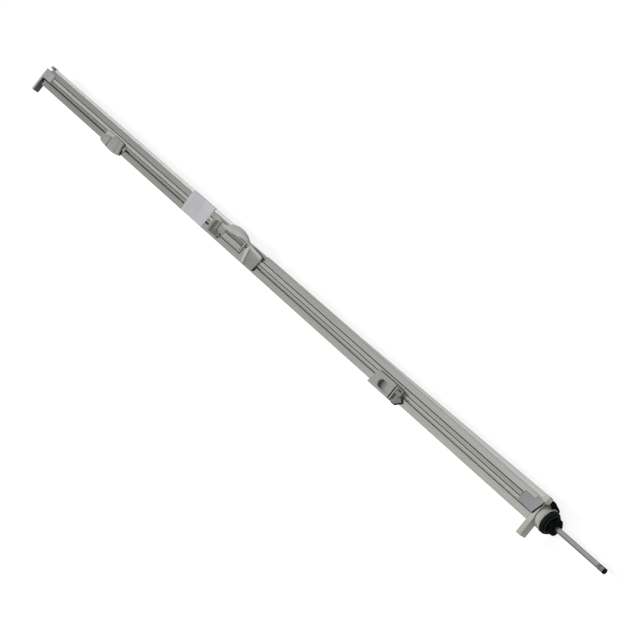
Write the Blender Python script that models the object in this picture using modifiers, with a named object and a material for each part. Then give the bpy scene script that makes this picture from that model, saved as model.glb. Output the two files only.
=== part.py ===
"""Long slotted profile unit with a built-in pneumatic cylinder, sliding clips and a lift lever.

Frame: X runs along the profile, +X towards the rod; +Z is the front face's normal; the legs point to -Y.
The flat back of the profile lies on Z = 0, with X = Y = 0 at its middle. Lengths are in metres.
"""
import math

import bmesh
import bpy
from mathutils import Matrix, Vector

MM = 0.001

# ---- driving dimensions --------------------------------------------------------------------------------
GAP = 0.3 * MM                      # clearance between touching pieces
FRONT = 52 * MM                     # height of the profile's front face above its back
HALF_WIDTH = 26 * MM                # half of the front face's width
BACK_HALF_WIDTH = 22.5 * MM         # the sides lean in towards the back
FACE_TOP = FRONT + GAP              # underside of what sits on the front face
PROFILE_X = (-1030 * MM, 1036.7 * MM)
SLOT_Y = -8.7 * MM                  # middle of the T-slot in the front face
SLOT_HALF = 1.9 * MM                # half of the slot's mouth
SLOT_HEAD_HALF = 6.3 * MM           # half of the undercut's width
LIP = 2.8 * MM                      # thickness of the slot's lips
SLOT_DEPTH = 8.5 * MM               # from the front face to the undercut's floor
STRIP_Y = (0.0 * MM, 9.4 * MM)      # insert strip across the face
STRIP_MARGIN = 0.9 * MM             # shadow gap on each side of the strip
STRIP_DEPTH = 1.6 * MM
WALL = 2.5 * MM
TRIM_HEIGHT = 7.2 * MM              # the white trim strip stands this far above the face's edge

ROD_Y = -3 * MM                     # cylinder axis
ROD_Z = 26 * MM
ROD_RADIUS = 5.5 * MM
ROD_CLEARANCE = 0.3 * MM
TIP_X = (1203 * MM, 1209.5 * MM, 1218 * MM)     # where the tip's collar, sleeve and cap begin
TIP_END_X = 1222.3 * MM
TIP_RADIUS = 6 * MM
TIP_SPIGOT = 3.5 * MM
BARREL_X = (700 * MM, 1036.4 * MM)
BARREL_RADII = (11 * MM, 13 * MM)
PISTON_X = (826 * MM, 850 * MM)
PISTON_SPIGOT = 4 * MM

HEAD_X = (1037 * MM, 1048.5 * MM)   # near head casting, as thick as its leg
HEAD_TOP_Y = 36.6 * MM
NEAR_LEG_Y = -57.5 * MM
NEAR_LEG_DEPTH = 24 * MM
FLANGE_X = (1048.8 * MM, 1064.5 * MM)
FLANGE_CENTRE = (-1.5 * MM, 27 * MM)    # the flange is not quite concentric with the rod
FLANGE_RADIUS = 27 * MM
FLANGE_LIP = 3.3 * MM               # thickness of the lip at the flange's front
FLANGE_BORE = 16 * MM
NECK_RADII = (24.5 * MM, 19 * MM)   # the neck tapers from the head to the lip
CORNER_SPLIT_X = 1055.4 * MM        # from the steel clip to the black plug in front of it
CORNER_PLUG_END_X = 1063.0 * MM
GLAND_FRONT_X = 1078 * MM
GLAND_RADIUS = 25.3 * MM
GLAND_BORE = 9.3 * MM
KNOB_X = (1078.3 * MM, 1088.6 * MM)
KNOB_RADIUS = 18.4 * MM
KNOB_LOBE = 0.9 * MM
KNOB_LOBES = 5

FAR_X = -1052 * MM                  # outer face of the far bracket
FAR_LEG_THICK = 10 * MM
FAR_LEG_Y = -52.7 * MM
FAR_LEG_DEPTH = 17 * MM

LEVER_AXIS = Vector((-114 * MM, 0, FRONT + 6.5 * MM))
LEVER_PIN_RADIUS = 1.5 * MM
CLIP_1_TAB_AXIS = Vector((-637.5 * MM, 0, FRONT + 4.0 * MM))
LATCH_AXIS = Vector((617.5 * MM, 0, FRONT + 5.2 * MM))
CLIP_1_X = (-677 * MM, -570 * MM)
BLOCK_X = (9 * MM, 67 * MM)
CLIP_3_X = (534 * MM, 611.5 * MM)

ROUND_STEPS = 32
SMALL_STEPS = 16

# ---- materials: colour, roughness, metallic ------------------------------------------------------------
FINISHES = {
    "anodised": ((0.34, 0.34, 0.32), 0.45, 0.6),
    "strip_grey": ((0.47, 0.47, 0.43), 0.5, 0.2),
    "trim_white": ((0.75, 0.75, 0.74), 0.5, 0.0),
    "clip_plastic": ((0.40, 0.41, 0.38), 0.5, 0.0),
    "bracket_grey": ((0.42, 0.42, 0.44), 0.45, 0.3),
    "casting_beige": ((0.46, 0.46, 0.42), 0.5, 0.2),
    "cover_grey": ((0.38, 0.39, 0.41), 0.5, 0.0),
    "paper": ((0.62, 0.62, 0.68), 0.7, 0.0),
    "black_plastic": ((0.01, 0.01, 0.01), 0.25, 0.0),
    "rubber": ((0.02, 0.02, 0.02), 0.7, 0.0),
    "chrome": ((0.65, 0.65, 0.66), 0.12, 1.0),
    "steel": ((0.45, 0.45, 0.46), 0.3, 1.0),
    "bronze": ((0.5, 0.33, 0.14), 0.35, 1.0),
}


# ---- scene helpers -------------------------------------------------------------------------------------
def new_collection(name):
    collection = bpy.data.collections.new(name)
    bpy.context.scene.collection.children.link(collection)
    return collection


def new_material(name, finish):
    colour, roughness, metallic = FINISHES[finish]
    material = bpy.data.materials.new(name)
    material.use_nodes = True
    shader = material.node_tree.nodes["Principled BSDF"]
    shader.inputs["Base Color"].default_value = (*colour, 1.0)
    shader.inputs["Roughness"].default_value = roughness
    shader.inputs["Metallic"].default_value = metallic
    return material


def add_object(name, data, finish=None):
    """Put data in the model with its own material, or among the cutters when it has no finish."""
    thing = bpy.data.objects.new(name, data)
    if finish is None:
        cutters.objects.link(thing)
        thing.hide_render = True
        thing.display_type = "WIRE"
    else:
        model.objects.link(thing)
        data.materials.append(new_material(name, finish))
    return thing


def add_axis(name, place):
    """An empty on a joint's axis: the moving pieces are its children."""
    axis = bpy.data.objects.new(name, None)
    axis.location = place
    axis.empty_display_size = 20 * MM
    model.objects.link(axis)
    return axis


def attach(axis, *pieces):
    for piece in pieces:
        piece.parent = axis
        piece.matrix_parent_inverse = Matrix.Translation(axis.location).inverted()


def bevel(thing, width, segments=2):
    modifier = thing.modifiers.new("rounded_edges", "BEVEL")
    modifier.width = width
    modifier.segments = segments
    modifier.limit_method = "ANGLE"
    return thing


def cut(thing, *tools):
    for tool in tools:
        modifier = thing.modifiers.new("cut_" + tool.name, "BOOLEAN")
        modifier.operation = "DIFFERENCE"
        modifier.object = tool
    return thing


def join(thing, *tools):
    for tool in tools:
        modifier = thing.modifiers.new("join_" + tool.name, "BOOLEAN")
        modifier.operation = "UNION"
        modifier.object = tool
    return thing


def block(name, low, high, finish=None, rounding=0.0):
    """A box between two corners, with rounded edges if asked."""
    low = Vector(low)
    high = Vector(high)
    bm = bmesh.new()
    bmesh.ops.create_cube(bm, size=1.0)
    bmesh.ops.scale(bm, vec=high - low, verts=bm.verts)
    mesh = bpy.data.meshes.new(name)
    bm.to_mesh(mesh)
    bm.free()
    thing = add_object(name, mesh, finish)
    thing.location = (low + high) / 2
    if rounding:
        bevel(thing, rounding)
    return thing


def rod_shape(name, start, end, radius, finish=None, sides=SMALL_STEPS):
    """A straight cylinder between two points."""
    start = Vector(start)
    end = Vector(end)
    along = end - start
    bm = bmesh.new()
    bmesh.ops.create_cone(bm, cap_ends=True, segments=sides, radius1=radius, radius2=radius,
                          depth=along.length)
    mesh = bpy.data.meshes.new(name)
    bm.to_mesh(mesh)
    bm.free()
    mesh.shade_smooth()
    mesh.set_sharp_from_angle(angle=math.radians(40))
    thing = add_object(name, mesh, finish)
    thing.location = (start + end) / 2
    thing.rotation_euler = along.to_track_quat("Z", "Y").to_euler()
    return thing


def flat_outline(name, loops, thickness):
    """A closed mesh from a filled 2D curve, in its own XY plane and centred on it."""
    curve = bpy.data.curves.new(name, "CURVE")
    curve.dimensions = "2D"
    curve.fill_mode = "BOTH"
    curve.extrude = thickness / 2
    for loop in loops:
        spline = curve.splines.new("POLY")
        spline.points.add(len(loop) - 1)
        for point, (across, up) in zip(spline.points, loop):
            point.co = (across, up, 0.0, 1.0)
        spline.use_cyclic_u = True
    guide = bpy.data.objects.new(name, curve)
    cutters.objects.link(guide)
    bpy.context.view_layer.update()
    graph = bpy.context.evaluated_depsgraph_get()
    mesh = bpy.data.meshes.new_from_object(guide.evaluated_get(graph))
    bpy.data.objects.remove(guide)
    bm = bmesh.new()
    bm.from_mesh(mesh)
    bmesh.ops.remove_doubles(bm, verts=bm.verts, dist=1e-6)
    bmesh.ops.recalc_face_normals(bm, faces=bm.faces)
    bm.to_mesh(mesh)
    bm.free()
    mesh.materials.clear()
    mesh.name = name
    return mesh


def slab(name, outline, low, high, finish=None, rounding=0.0, holes=()):
    """An outline of (x, y) points, filled and raised from height low to height high."""
    mesh = flat_outline(name, [outline, *holes], high - low)
    thing = add_object(name, mesh, finish)
    thing.location = (0, 0, (low + high) / 2)
    if rounding:
        bevel(thing, rounding)
    return thing


def bar(name, loops, start, end, finish=None, rounding=0.0):
    """Loops of (y, z) points, filled and drawn along X from start to end."""
    mesh = flat_outline(name, loops, end - start)
    thing = add_object(name, mesh, finish)
    thing.location = ((start + end) / 2, 0, 0)
    thing.rotation_euler = (math.pi / 2, 0, math.pi / 2)
    if rounding:
        bevel(thing, rounding)
    return thing


def side_slab(name, outline, low, high, finish=None, rounding=0.0):
    """An outline of (x, z) points, filled and drawn along Y from low to high."""
    mesh = flat_outline(name, [outline], high - low)
    thing = add_object(name, mesh, finish)
    thing.location = (0, (low + high) / 2, 0)
    thing.rotation_euler = (math.pi / 2, 0, 0)
    if rounding:
        bevel(thing, rounding)
    return thing


def turned(name, profile, finish=None, closed=False, steps=ROUND_STEPS):
    """A profile of (x, radius) points, outside from high x to low x, turned about the cylinder's axis."""
    mesh = bpy.data.meshes.new(name)
    points = [(radius, 0, along) for along, radius in profile]
    edges = [(i, i + 1) for i in range(len(points) - 1)]
    if closed:
        edges.append((len(points) - 1, 0))
    mesh.from_pydata(points, edges, [])
    thing = add_object(name, mesh, finish)
    thing.location = (0, ROD_Y, ROD_Z)
    thing.rotation_euler = (0, math.pi / 2, 0)
    screw = thing.modifiers.new("turn", "SCREW")
    screw.steps = steps
    screw.render_steps = steps
    screw.use_merge_vertices = True
    screw.merge_threshold = 1e-5
    screw.use_smooth_shade = True
    return thing


def ring(name, start, end, inner, outer, finish=None, steps=ROUND_STEPS):
    """A plain round sleeve on the cylinder's axis."""
    return turned(name, [(end, inner), (end, outer), (start, outer), (start, inner)], finish, True, steps)


def arc(centre, radius, start, end, count):
    """Points on an arc, angles in degrees."""
    points = []
    for i in range(count + 1):
        angle = math.radians(start + (end - start) * i / count)
        points.append((centre[0] + radius * math.cos(angle), centre[1] + radius * math.sin(angle)))
    return points


def axis_circle(radius, sides):
    """A loop of (y, z) points around the cylinder's axis."""
    return arc((ROD_Y, ROD_Z), radius, 0, 360 * (sides - 1) / sides, sides - 1)


def axis_tool(name, start, end, radius):
    """A cutter on the cylinder's axis."""
    return rod_shape(name, (start, ROD_Y, ROD_Z), (end, ROD_Y, ROD_Z), radius, sides=ROUND_STEPS)


def mm(points):
    return [(a * MM, b * MM) for a, b in points]


# ---- profile and what is fixed along it ----------------------------------------------------------------
def profile_housing():
    slot_low = SLOT_Y - SLOT_HALF
    slot_high = SLOT_Y + SLOT_HALF
    head_low = SLOT_Y - SLOT_HEAD_HALF
    head_high = SLOT_Y + SLOT_HEAD_HALF
    lip_under = FRONT - LIP
    slot_floor = FRONT - SLOT_DEPTH
    recess_low = STRIP_Y[0] - STRIP_MARGIN
    recess_high = STRIP_Y[1] + STRIP_MARGIN
    recess_floor = FRONT - STRIP_DEPTH - GAP
    corner = 1.5 * MM
    outer = [
        (-HALF_WIDTH, FRONT - corner), (-HALF_WIDTH + corner, FRONT),
        (slot_low, FRONT), (slot_low, lip_under), (head_low, lip_under), (head_low, slot_floor),
        (head_high, slot_floor), (head_high, lip_under), (slot_high, lip_under), (slot_high, FRONT),
        (recess_low, FRONT), (recess_low, recess_floor), (recess_high, recess_floor), (recess_high, FRONT),
        (HALF_WIDTH - corner, FRONT), (HALF_WIDTH, FRONT - corner),
        (BACK_HALF_WIDTH, corner), (BACK_HALF_WIDTH - corner, 0),
        (-BACK_HALF_WIDTH + corner, 0), (-BACK_HALF_WIDTH, corner),
    ]
    under_slot = slot_floor - WALL
    under_face = FRONT - STRIP_DEPTH - GAP - WALL
    inner = [
        (-BACK_HALF_WIDTH + WALL, WALL), (BACK_HALF_WIDTH - WALL, WALL),
        (HALF_WIDTH - 1.15 * WALL, under_face), (head_high + WALL, under_face),
        (head_high + WALL, under_slot), (head_low - WALL, under_slot),
        (head_low - WALL, under_face), (-HALF_WIDTH + 1.15 * WALL, under_face),
    ]
    return bar("profile_housing", [outer, inner], *PROFILE_X, "anodised")


def strips():
    block("centre_strip", (-998 * MM, STRIP_Y[0], FRONT - STRIP_DEPTH),
          (995 * MM, STRIP_Y[1], FRONT + 0.2 * MM), "strip_grey")
    block("top_trim_strip", (-1017.5 * MM, HALF_WIDTH + GAP, FRONT - 8 * MM),
          (-84 * MM, HALF_WIDTH + TRIM_HEIGHT, FRONT - 0.5 * MM), "trim_white", 0.8 * MM)
    edge = HALF_WIDTH + GAP
    outline = [
        (74 * MM, edge), (1036.5 * MM, edge), (1036.5 * MM, HEAD_TOP_Y - 0.6 * MM),
        (428 * MM, HALF_WIDTH + 1.8 * MM), (74 * MM, HALF_WIDTH + 1.4 * MM),
    ]
    slab("edge_fairing", outline, FRONT - 14 * MM, FRONT - 0.4 * MM, "strip_grey")


def label():
    """Paper wrapped over the front face and the trim strip, and down its side."""
    skin = 0.3 * MM
    side = HALF_WIDTH + TRIM_HEIGHT + GAP
    fold = 1.2 * MM
    low = FRONT - 10 * MM
    loop = [
        (-HALF_WIDTH + 0.5 * MM, FACE_TOP), (side - fold, FACE_TOP), (side, FACE_TOP - fold), (side, low),
        (side + skin, low), (side + skin, FACE_TOP - fold), (side - fold + skin / 2, FACE_TOP + skin),
        (-HALF_WIDTH + 0.5 * MM, FACE_TOP + skin),
    ]
    bar("paper_label", [loop], -265.5 * MM, -164 * MM, "paper")


# ---- far end -------------------------------------------------------------------------------------------
def far_end():
    plate_top = FACE_TOP + 2.6 * MM
    web_end = FAR_X + FAR_LEG_THICK
    top_left = (FAR_X + 1 * MM, 20.5 * MM)
    plate = [(FAR_X, -7.3 * MM), (-999 * MM, -7.3 * MM), (-999 * MM, 18.3 * MM), (-1003 * MM, 19 * MM),
             (FAR_X + 14 * MM, 19.4 * MM), top_left]
    leg = [top_left, (FAR_X, -8 * MM), (FAR_X, FAR_LEG_Y), (web_end, FAR_LEG_Y), (web_end, 19 * MM)]
    bracket = slab("far_bracket", plate, FACE_TOP, plate_top, "bracket_grey")
    web = slab("far_web_tool", leg, FRONT - FAR_LEG_DEPTH, plate_top - 0.2 * MM)
    join(bracket, web)
    cap = bar("far_end_cap", [mm([(-21.5, 1.0), (21.5, 1.0), (24.4, 48.5), (-24.4, 48.5)])],
              PROFILE_X[0] - 5 * MM, PROFILE_X[0] - GAP, "black_plastic")
    spigot = bar("end_cap_spigot_tool", [mm([(-19.4, 3.0), (19.4, 3.0), (20.9, 38.5), (-20.9, 38.5)])],
                 PROFILE_X[0] - 2 * MM, PROFILE_X[0] + 8 * MM)
    join(cap, spigot)
    corner = block("far_corner_block", (-1041.5 * MM, HALF_WIDTH + GAP, FRONT - 9 * MM),
                   (-1018 * MM, HALF_WIDTH + 8.4 * MM, FRONT + 0.6 * MM), "bracket_grey")
    hole_x = -1023.5 * MM
    hole_y = HALF_WIDTH + 5.2 * MM
    bore = rod_shape("corner_bore_tool", (hole_x, hole_y, FRONT - 6 * MM), (hole_x, hole_y, FRONT + 6 * MM),
                     2.9 * MM)
    cut(corner, bore)
    rod_shape("far_corner_plug", (hole_x, hole_y, FRONT - 5.7 * MM), (hole_x, hole_y, FRONT + 0.4 * MM),
              2.6 * MM, "rubber")


# ---- near end ------------------------------------------------------------------------------------------
def flange_circle(radius, sides=ROUND_STEPS):
    """A loop of (y, z) points around the flange's centre."""
    return arc(FLANGE_CENTRE, radius, 0, 360 * (sides - 1) / sides, sides - 1)


def near_head():
    start, end = HEAD_X
    top = HEAD_TOP_Y
    low = -HALF_WIDTH
    outline = [(low, FRONT), (low, 4 * MM), (low + 4 * MM, 0),
               *arc((13 * MM, 11 * MM), 11 * MM, -90, -18, 6),
               (top - 6 * MM, 30 * MM), (top, 40 * MM), (top, FRONT)]
    head = bar("near_head", [outline], start, end, "casting_beige")
    leg = block("near_leg_tool", (start, NEAR_LEG_Y, FRONT - NEAR_LEG_DEPTH),
                (end, -20 * MM, FRONT - 0.1 * MM))
    join(head, leg)
    bore = axis_tool("head_bore_tool", start - 5 * MM, end + 5 * MM, 8 * MM)
    cut(head, bore)
    slab("head_pad", mm([(1043.5, -9.6), (1048.3, -9.6), (1048.3, 7.5)]), FACE_TOP, FACE_TOP + 1.2 * MM,
         "casting_beige")


def flange():
    """A tapered neck that ends in a thin lip; its bore is on the rod's axis."""
    start, end = FLANGE_X
    lip_start = end - FLANGE_LIP
    neck = turned("flange_ring", [(lip_start + 1 * MM, FLANGE_BORE), (lip_start + 1 * MM, NECK_RADII[1]),
                                  (lip_start, NECK_RADII[1]), (start, NECK_RADII[0]), (start, FLANGE_BORE)],
                  "casting_beige", True)
    lip = bar("flange_lip_tool", [flange_circle(FLANGE_RADIUS), axis_circle(FLANGE_BORE, ROUND_STEPS)],
              lip_start, end)
    join(neck, lip)


def corner_pieces():
    around_flange = bar("flange_room_tool", [flange_circle(FLANGE_RADIUS + GAP)], FLANGE_X[0] - 5 * MM,
                        FLANGE_X[1] + 20 * MM)
    inner_top = (22 * MM, FRONT - 0.5 * MM)
    clip_top = HEAD_TOP_Y - 1.5 * MM
    clip_loop = [inner_top, (22 * MM, 30 * MM), (24 * MM, 14 * MM), (27 * MM, 18 * MM),
                 (clip_top - 4 * MM, 31 * MM), (clip_top, 41 * MM), (clip_top, FRONT - 0.5 * MM)]
    clip = bar("corner_clip", [clip_loop], FLANGE_X[0], CORNER_SPLIT_X, "steel")
    cut(clip, around_flange)
    plug_loop = [(25.5 * MM, FRONT - 0.5 * MM), (25.5 * MM, 16 * MM), (28 * MM, 19 * MM), (31 * MM, 30 * MM),
                 (34.5 * MM, 42 * MM), *arc((31.5 * MM, 48 * MM), 3.5 * MM, 0, 90, 3)]
    plug = bar("corner_plug", [plug_loop], CORNER_SPLIT_X + GAP, CORNER_PLUG_END_X, "black_plastic")
    cut(plug, around_flange)


def cover_plate():
    outline = mm([(995.8, -6.8), (1037.5, -9.6), (1046.8, 22.5), (1025.6, 22.5), (1025.6, 15.9),
                  (997.5, 15.9)])
    slab("end_cover_plate", outline, FACE_TOP, FACE_TOP + 1.3 * MM, "cover_grey", 0.3 * MM)


# ---- cylinder ------------------------------------------------------------------------------------------
def cylinder():
    inner, outer = BARREL_RADII
    start, end = BARREL_X
    ring("cylinder_barrel", start, end, inner, outer, "steel")
    fit = inner - GAP
    valve = 3 * MM
    cap_bore = valve + GAP
    turned("barrel_rear_cap", [(start + 10 * MM, cap_bore), (start + 10 * MM, fit), (start - GAP, fit),
                               (start - GAP, outer), (start - 9 * MM, outer),
                               (start - 10 * MM, outer - 1 * MM), (start - 10 * MM, cap_bore)],
           "anodised", True)
    valve_x = start - 10 * MM - GAP
    turned("charge_valve", [(start + 8 * MM, 0), (start + 8 * MM, valve), (valve_x, valve),
                            (valve_x, 5 * MM), (start - 16 * MM, 5 * MM), (start - 17 * MM, 4 * MM),
                            (start - 17 * MM, 0)], "bronze", steps=SMALL_STEPS)
    gland_start = end - 26 * MM
    turned("front_gland", [(end, 8 * MM), (end, fit), (gland_start + 15 * MM, fit),
                           (gland_start + 15 * MM, fit - 1.6 * MM), (gland_start + 12 * MM, fit - 1.6 * MM),
                           (gland_start + 12 * MM, fit), (gland_start, fit), (gland_start, 8 * MM)],
           "anodised", True)
    ring("gland_o_ring", gland_start + 12.3 * MM, gland_start + 14.7 * MM, fit - 1.3 * MM, fit, "rubber")
    bush_inner = ROD_RADIUS + ROD_CLEARANCE
    ring("rod_bush", gland_start + 8 * MM, end, bush_inner, 7.7 * MM, "bronze")
    ring("rod_seal", gland_start + 1 * MM, gland_start + 7.7 * MM, bush_inner, 7.7 * MM, "rubber")
    for place, name in ((start + 30 * MM, "barrel_saddle_rear"), (end - 45 * MM, "barrel_saddle_front")):
        loop = mm([(-19.2, 2.9), (19.2, 2.9), (21.0, 32), (21.0, 36), (-21.0, 36), (-21.0, 32)])
        saddle = bar(name, [loop], place, place + 12 * MM, "black_plastic")
        hole = axis_tool(name + "_bore_tool", place - 5 * MM, place + 20 * MM, outer + GAP)
        cut(saddle, hole)


def rod_and_piston(axis):
    start, end = PISTON_X
    bore = PISTON_SPIGOT + GAP
    collar_x, sleeve_x, cap_x = TIP_X
    rod = turned("piston_rod", [(cap_x - GAP, 0), (cap_x - GAP, TIP_SPIGOT), (collar_x - GAP, TIP_SPIGOT),
                                (collar_x - GAP, ROD_RADIUS - 0.5 * MM), (collar_x - 0.8 * MM, ROD_RADIUS),
                                (end + GAP, ROD_RADIUS), (end + GAP, PISTON_SPIGOT),
                                (start - 12 * MM, PISTON_SPIGOT), (start - 12 * MM, 0)], "chrome")
    outer = BARREL_RADII[0] - 0.6 * MM
    groove = outer - 2 * MM
    groove_x = (end - 15 * MM, end - 9 * MM)
    piston = turned("piston", [(end, bore), (end, outer), (groove_x[1], outer), (groove_x[1], groove),
                               (groove_x[0], groove), (groove_x[0], outer), (start, outer), (start, bore)],
                    "anodised", True)
    seal = ring("piston_seal", groove_x[0] + GAP, groove_x[1] - GAP, groove + GAP, outer + GAP, "rubber")
    nut = bar("piston_nut", [axis_circle(7 * MM, 6), axis_circle(bore, ROUND_STEPS)], start - 7 * MM,
              start - GAP, "steel")
    fit = TIP_SPIGOT + GAP
    collar = turned("tip_collar", [(sleeve_x - GAP, fit), (sleeve_x - GAP, TIP_RADIUS),
                                   (collar_x + 2.5 * MM, TIP_RADIUS), (collar_x, ROD_RADIUS),
                                   (collar_x, fit)], "rubber", True)
    sleeve = bar("tip_hex", [axis_circle(TIP_RADIUS, 8), axis_circle(fit, ROUND_STEPS)], sleeve_x,
                 cap_x - GAP, "steel")
    cap = turned("tip_cap", [(TIP_END_X, 0), (TIP_END_X, TIP_RADIUS - 1 * MM),
                             (TIP_END_X - 1 * MM, TIP_RADIUS), (cap_x, TIP_RADIUS), (cap_x, 0)], "rubber")
    attach(axis, rod, piston, seal, nut, collar, sleeve, cap)


def gland_base():
    back = FLANGE_X[1] + GAP
    front = GLAND_FRONT_X
    spigot = FLANGE_BORE - GAP
    rim = arc((front - 4 * MM, GLAND_RADIUS - 3.5 * MM), 3.5 * MM, 0, 75, 4)
    profile = [(front, GLAND_BORE), (front, GLAND_RADIUS - 4 * MM), *rim, (front - 8 * MM, GLAND_RADIUS),
               (back, GLAND_RADIUS), (back, spigot), (back - 8 * MM, spigot), (back - 8 * MM, GLAND_BORE)]
    turned("gland_base", profile, "black_plastic", True)
    ring("rod_collet", back - 7 * MM, KNOB_X[0] + 5.5 * MM, ROD_RADIUS + ROD_CLEARANCE, GLAND_BORE - GAP,
         "bronze")


def lock_knob(axis):
    outline = []
    turns = 60
    for i in range(turns):
        angle = 2 * math.pi * i / turns
        radius = KNOB_RADIUS + KNOB_LOBE * math.cos(KNOB_LOBES * angle)
        outline.append((ROD_Y + radius * math.cos(angle), ROD_Z + radius * math.sin(angle)))
    knob = bar("lock_knob", [outline], *KNOB_X, "black_plastic")
    bevel(knob, 2.2 * MM)
    beyond = (KNOB_X[0] - 5 * MM, KNOB_X[1] + 5 * MM)
    seat_x = KNOB_X[1] - 2.4 * MM
    seat_radius = 8 * MM
    through = axis_tool("knob_bore_tool", *beyond, ROD_RADIUS + 0.7 * MM)
    counterbore = axis_tool("knob_counterbore_tool", beyond[0], KNOB_X[0] + 6 * MM, GLAND_BORE + 0.1 * MM)
    seat = axis_tool("wiper_seat_tool", seat_x, beyond[1], seat_radius)
    cut(knob, through, counterbore, seat)
    wiper = ring("rod_wiper", seat_x + GAP, KNOB_X[1], ROD_RADIUS + ROD_CLEARANCE, seat_radius - 0.4 * MM,
                 "rubber")
    attach(axis, knob, wiper)


# ---- lift lever ----------------------------------------------------------------------------------------
HOUSING_TOP = FACE_TOP + 4.2 * MM
EAR_INNER_Y = (-4.8 * MM, 14.2 * MM)
EAR_THICK = 2.6 * MM
LEAF_CENTRE = (-42.2 * MM, -50.5 * MM)  # of the leaf's long curved edge
LEAF_RADIUS = 89.4 * MM


def handle_housing():
    outline = mm([(-144, -21.5), (-101, -21.5), (-94, -9.6), (-5, -9.6), (-5, 17), (-126, 19), (-137, 16),
                  (-144, 8)])
    housing = slab("handle_housing", outline, FACE_TOP, HOUSING_TOP, "clip_plastic")
    ear_x = LEVER_AXIS.x
    ear_z = LEVER_AXIS.z
    for number, side in enumerate((EAR_INNER_Y[0] - EAR_THICK, EAR_INNER_Y[1])):
        ear = side_slab("ear_tool_%d" % number,
                        [(ear_x - 5 * MM, FACE_TOP + 1 * MM), (ear_x + 5 * MM, FACE_TOP + 1 * MM),
                         *arc((ear_x, ear_z), 4 * MM, 0, 180, 8)], side, side + EAR_THICK)
        join(housing, ear)
    pin_room = rod_shape("ear_hole_tool", (ear_x, -20 * MM, ear_z), (ear_x, 30 * MM, ear_z),
                         LEVER_PIN_RADIUS + GAP)
    pocket = slab("pocket_tool", mm([(-138, -16.5), (-122.5, -16.5), (-122.5, 13), (-138, 13)]),
                  FACE_TOP - 5 * MM, HOUSING_TOP + 5 * MM)
    seat_outline = mm([(-121, -4.5), (-121, 13.9), (-10, 13.9), (-10, 6.2), (-84, 6.2), (-84, -4.5)])
    seat = slab("lever_seat_tool", seat_outline, FACE_TOP + 2.2 * MM, HOUSING_TOP + 12 * MM)
    cut(housing, pin_room, pocket, seat)


def lever(axis):
    height = FACE_TOP + 2.6 * MM
    arm_top = FACE_TOP + 7.4 * MM
    arm = mm([(-112, -4.2), (-112, 13.6), (-14, 13.6), (-14, 6.6), (-84.4, 6.6), (-84.4, -4.2)])
    leaf_low = HOUSING_TOP + 1.0 * MM
    leaf = [*mm([(-107, 12.8), (-107, 18.2), (-96, 21), (-87, 25.5)]),
            *arc(LEAF_CENTRE, LEAF_RADIUS, 114, 60, 10),
            *mm([(-10, 22), (-26, 19), (-44, 15.5), (-62, 12.8)])]
    body = slab("lift_lever", leaf, leaf_low, leaf_low + 7 * MM, "clip_plastic")
    arm_tool = slab("lever_arm_tool", arm, height, arm_top)
    x, z = LEVER_AXIS.x, LEVER_AXIS.z
    hub = rod_shape("lever_hub_tool", (x, -4 * MM, z), (x, 13.4 * MM, z), 3.8 * MM)
    pin_room = rod_shape("lever_hole_tool", (x, -20 * MM, z), (x, 30 * MM, z), LEVER_PIN_RADIUS + GAP)
    join(body, arm_tool, hub)
    cut(body, pin_room)
    attach(axis, body)
    rod_shape("lever_pin", (x, EAR_INNER_Y[0] - EAR_THICK, z), (x, EAR_INNER_Y[1] + EAR_THICK, z),
              LEVER_PIN_RADIUS, "steel")


# ---- sliding clips -------------------------------------------------------------------------------------
def slot_foot(name, start, end):
    """A T-shaped foot in the profile's slot, with the neck that reaches up to the face."""
    neck = SLOT_HALF - GAP
    head = SLOT_HEAD_HALF - GAP
    head_top = FRONT - LIP - GAP
    head_low = head_top - 4.6 * MM
    loop = [
        (SLOT_Y - head, head_low), (SLOT_Y + head, head_low), (SLOT_Y + head, head_top),
        (SLOT_Y + neck, head_top), (SLOT_Y + neck, FRONT), (SLOT_Y - neck, FRONT),
        (SLOT_Y - neck, head_top), (SLOT_Y - head, head_top),
    ]
    return bar(name, [loop], start, end, "steel")


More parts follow.
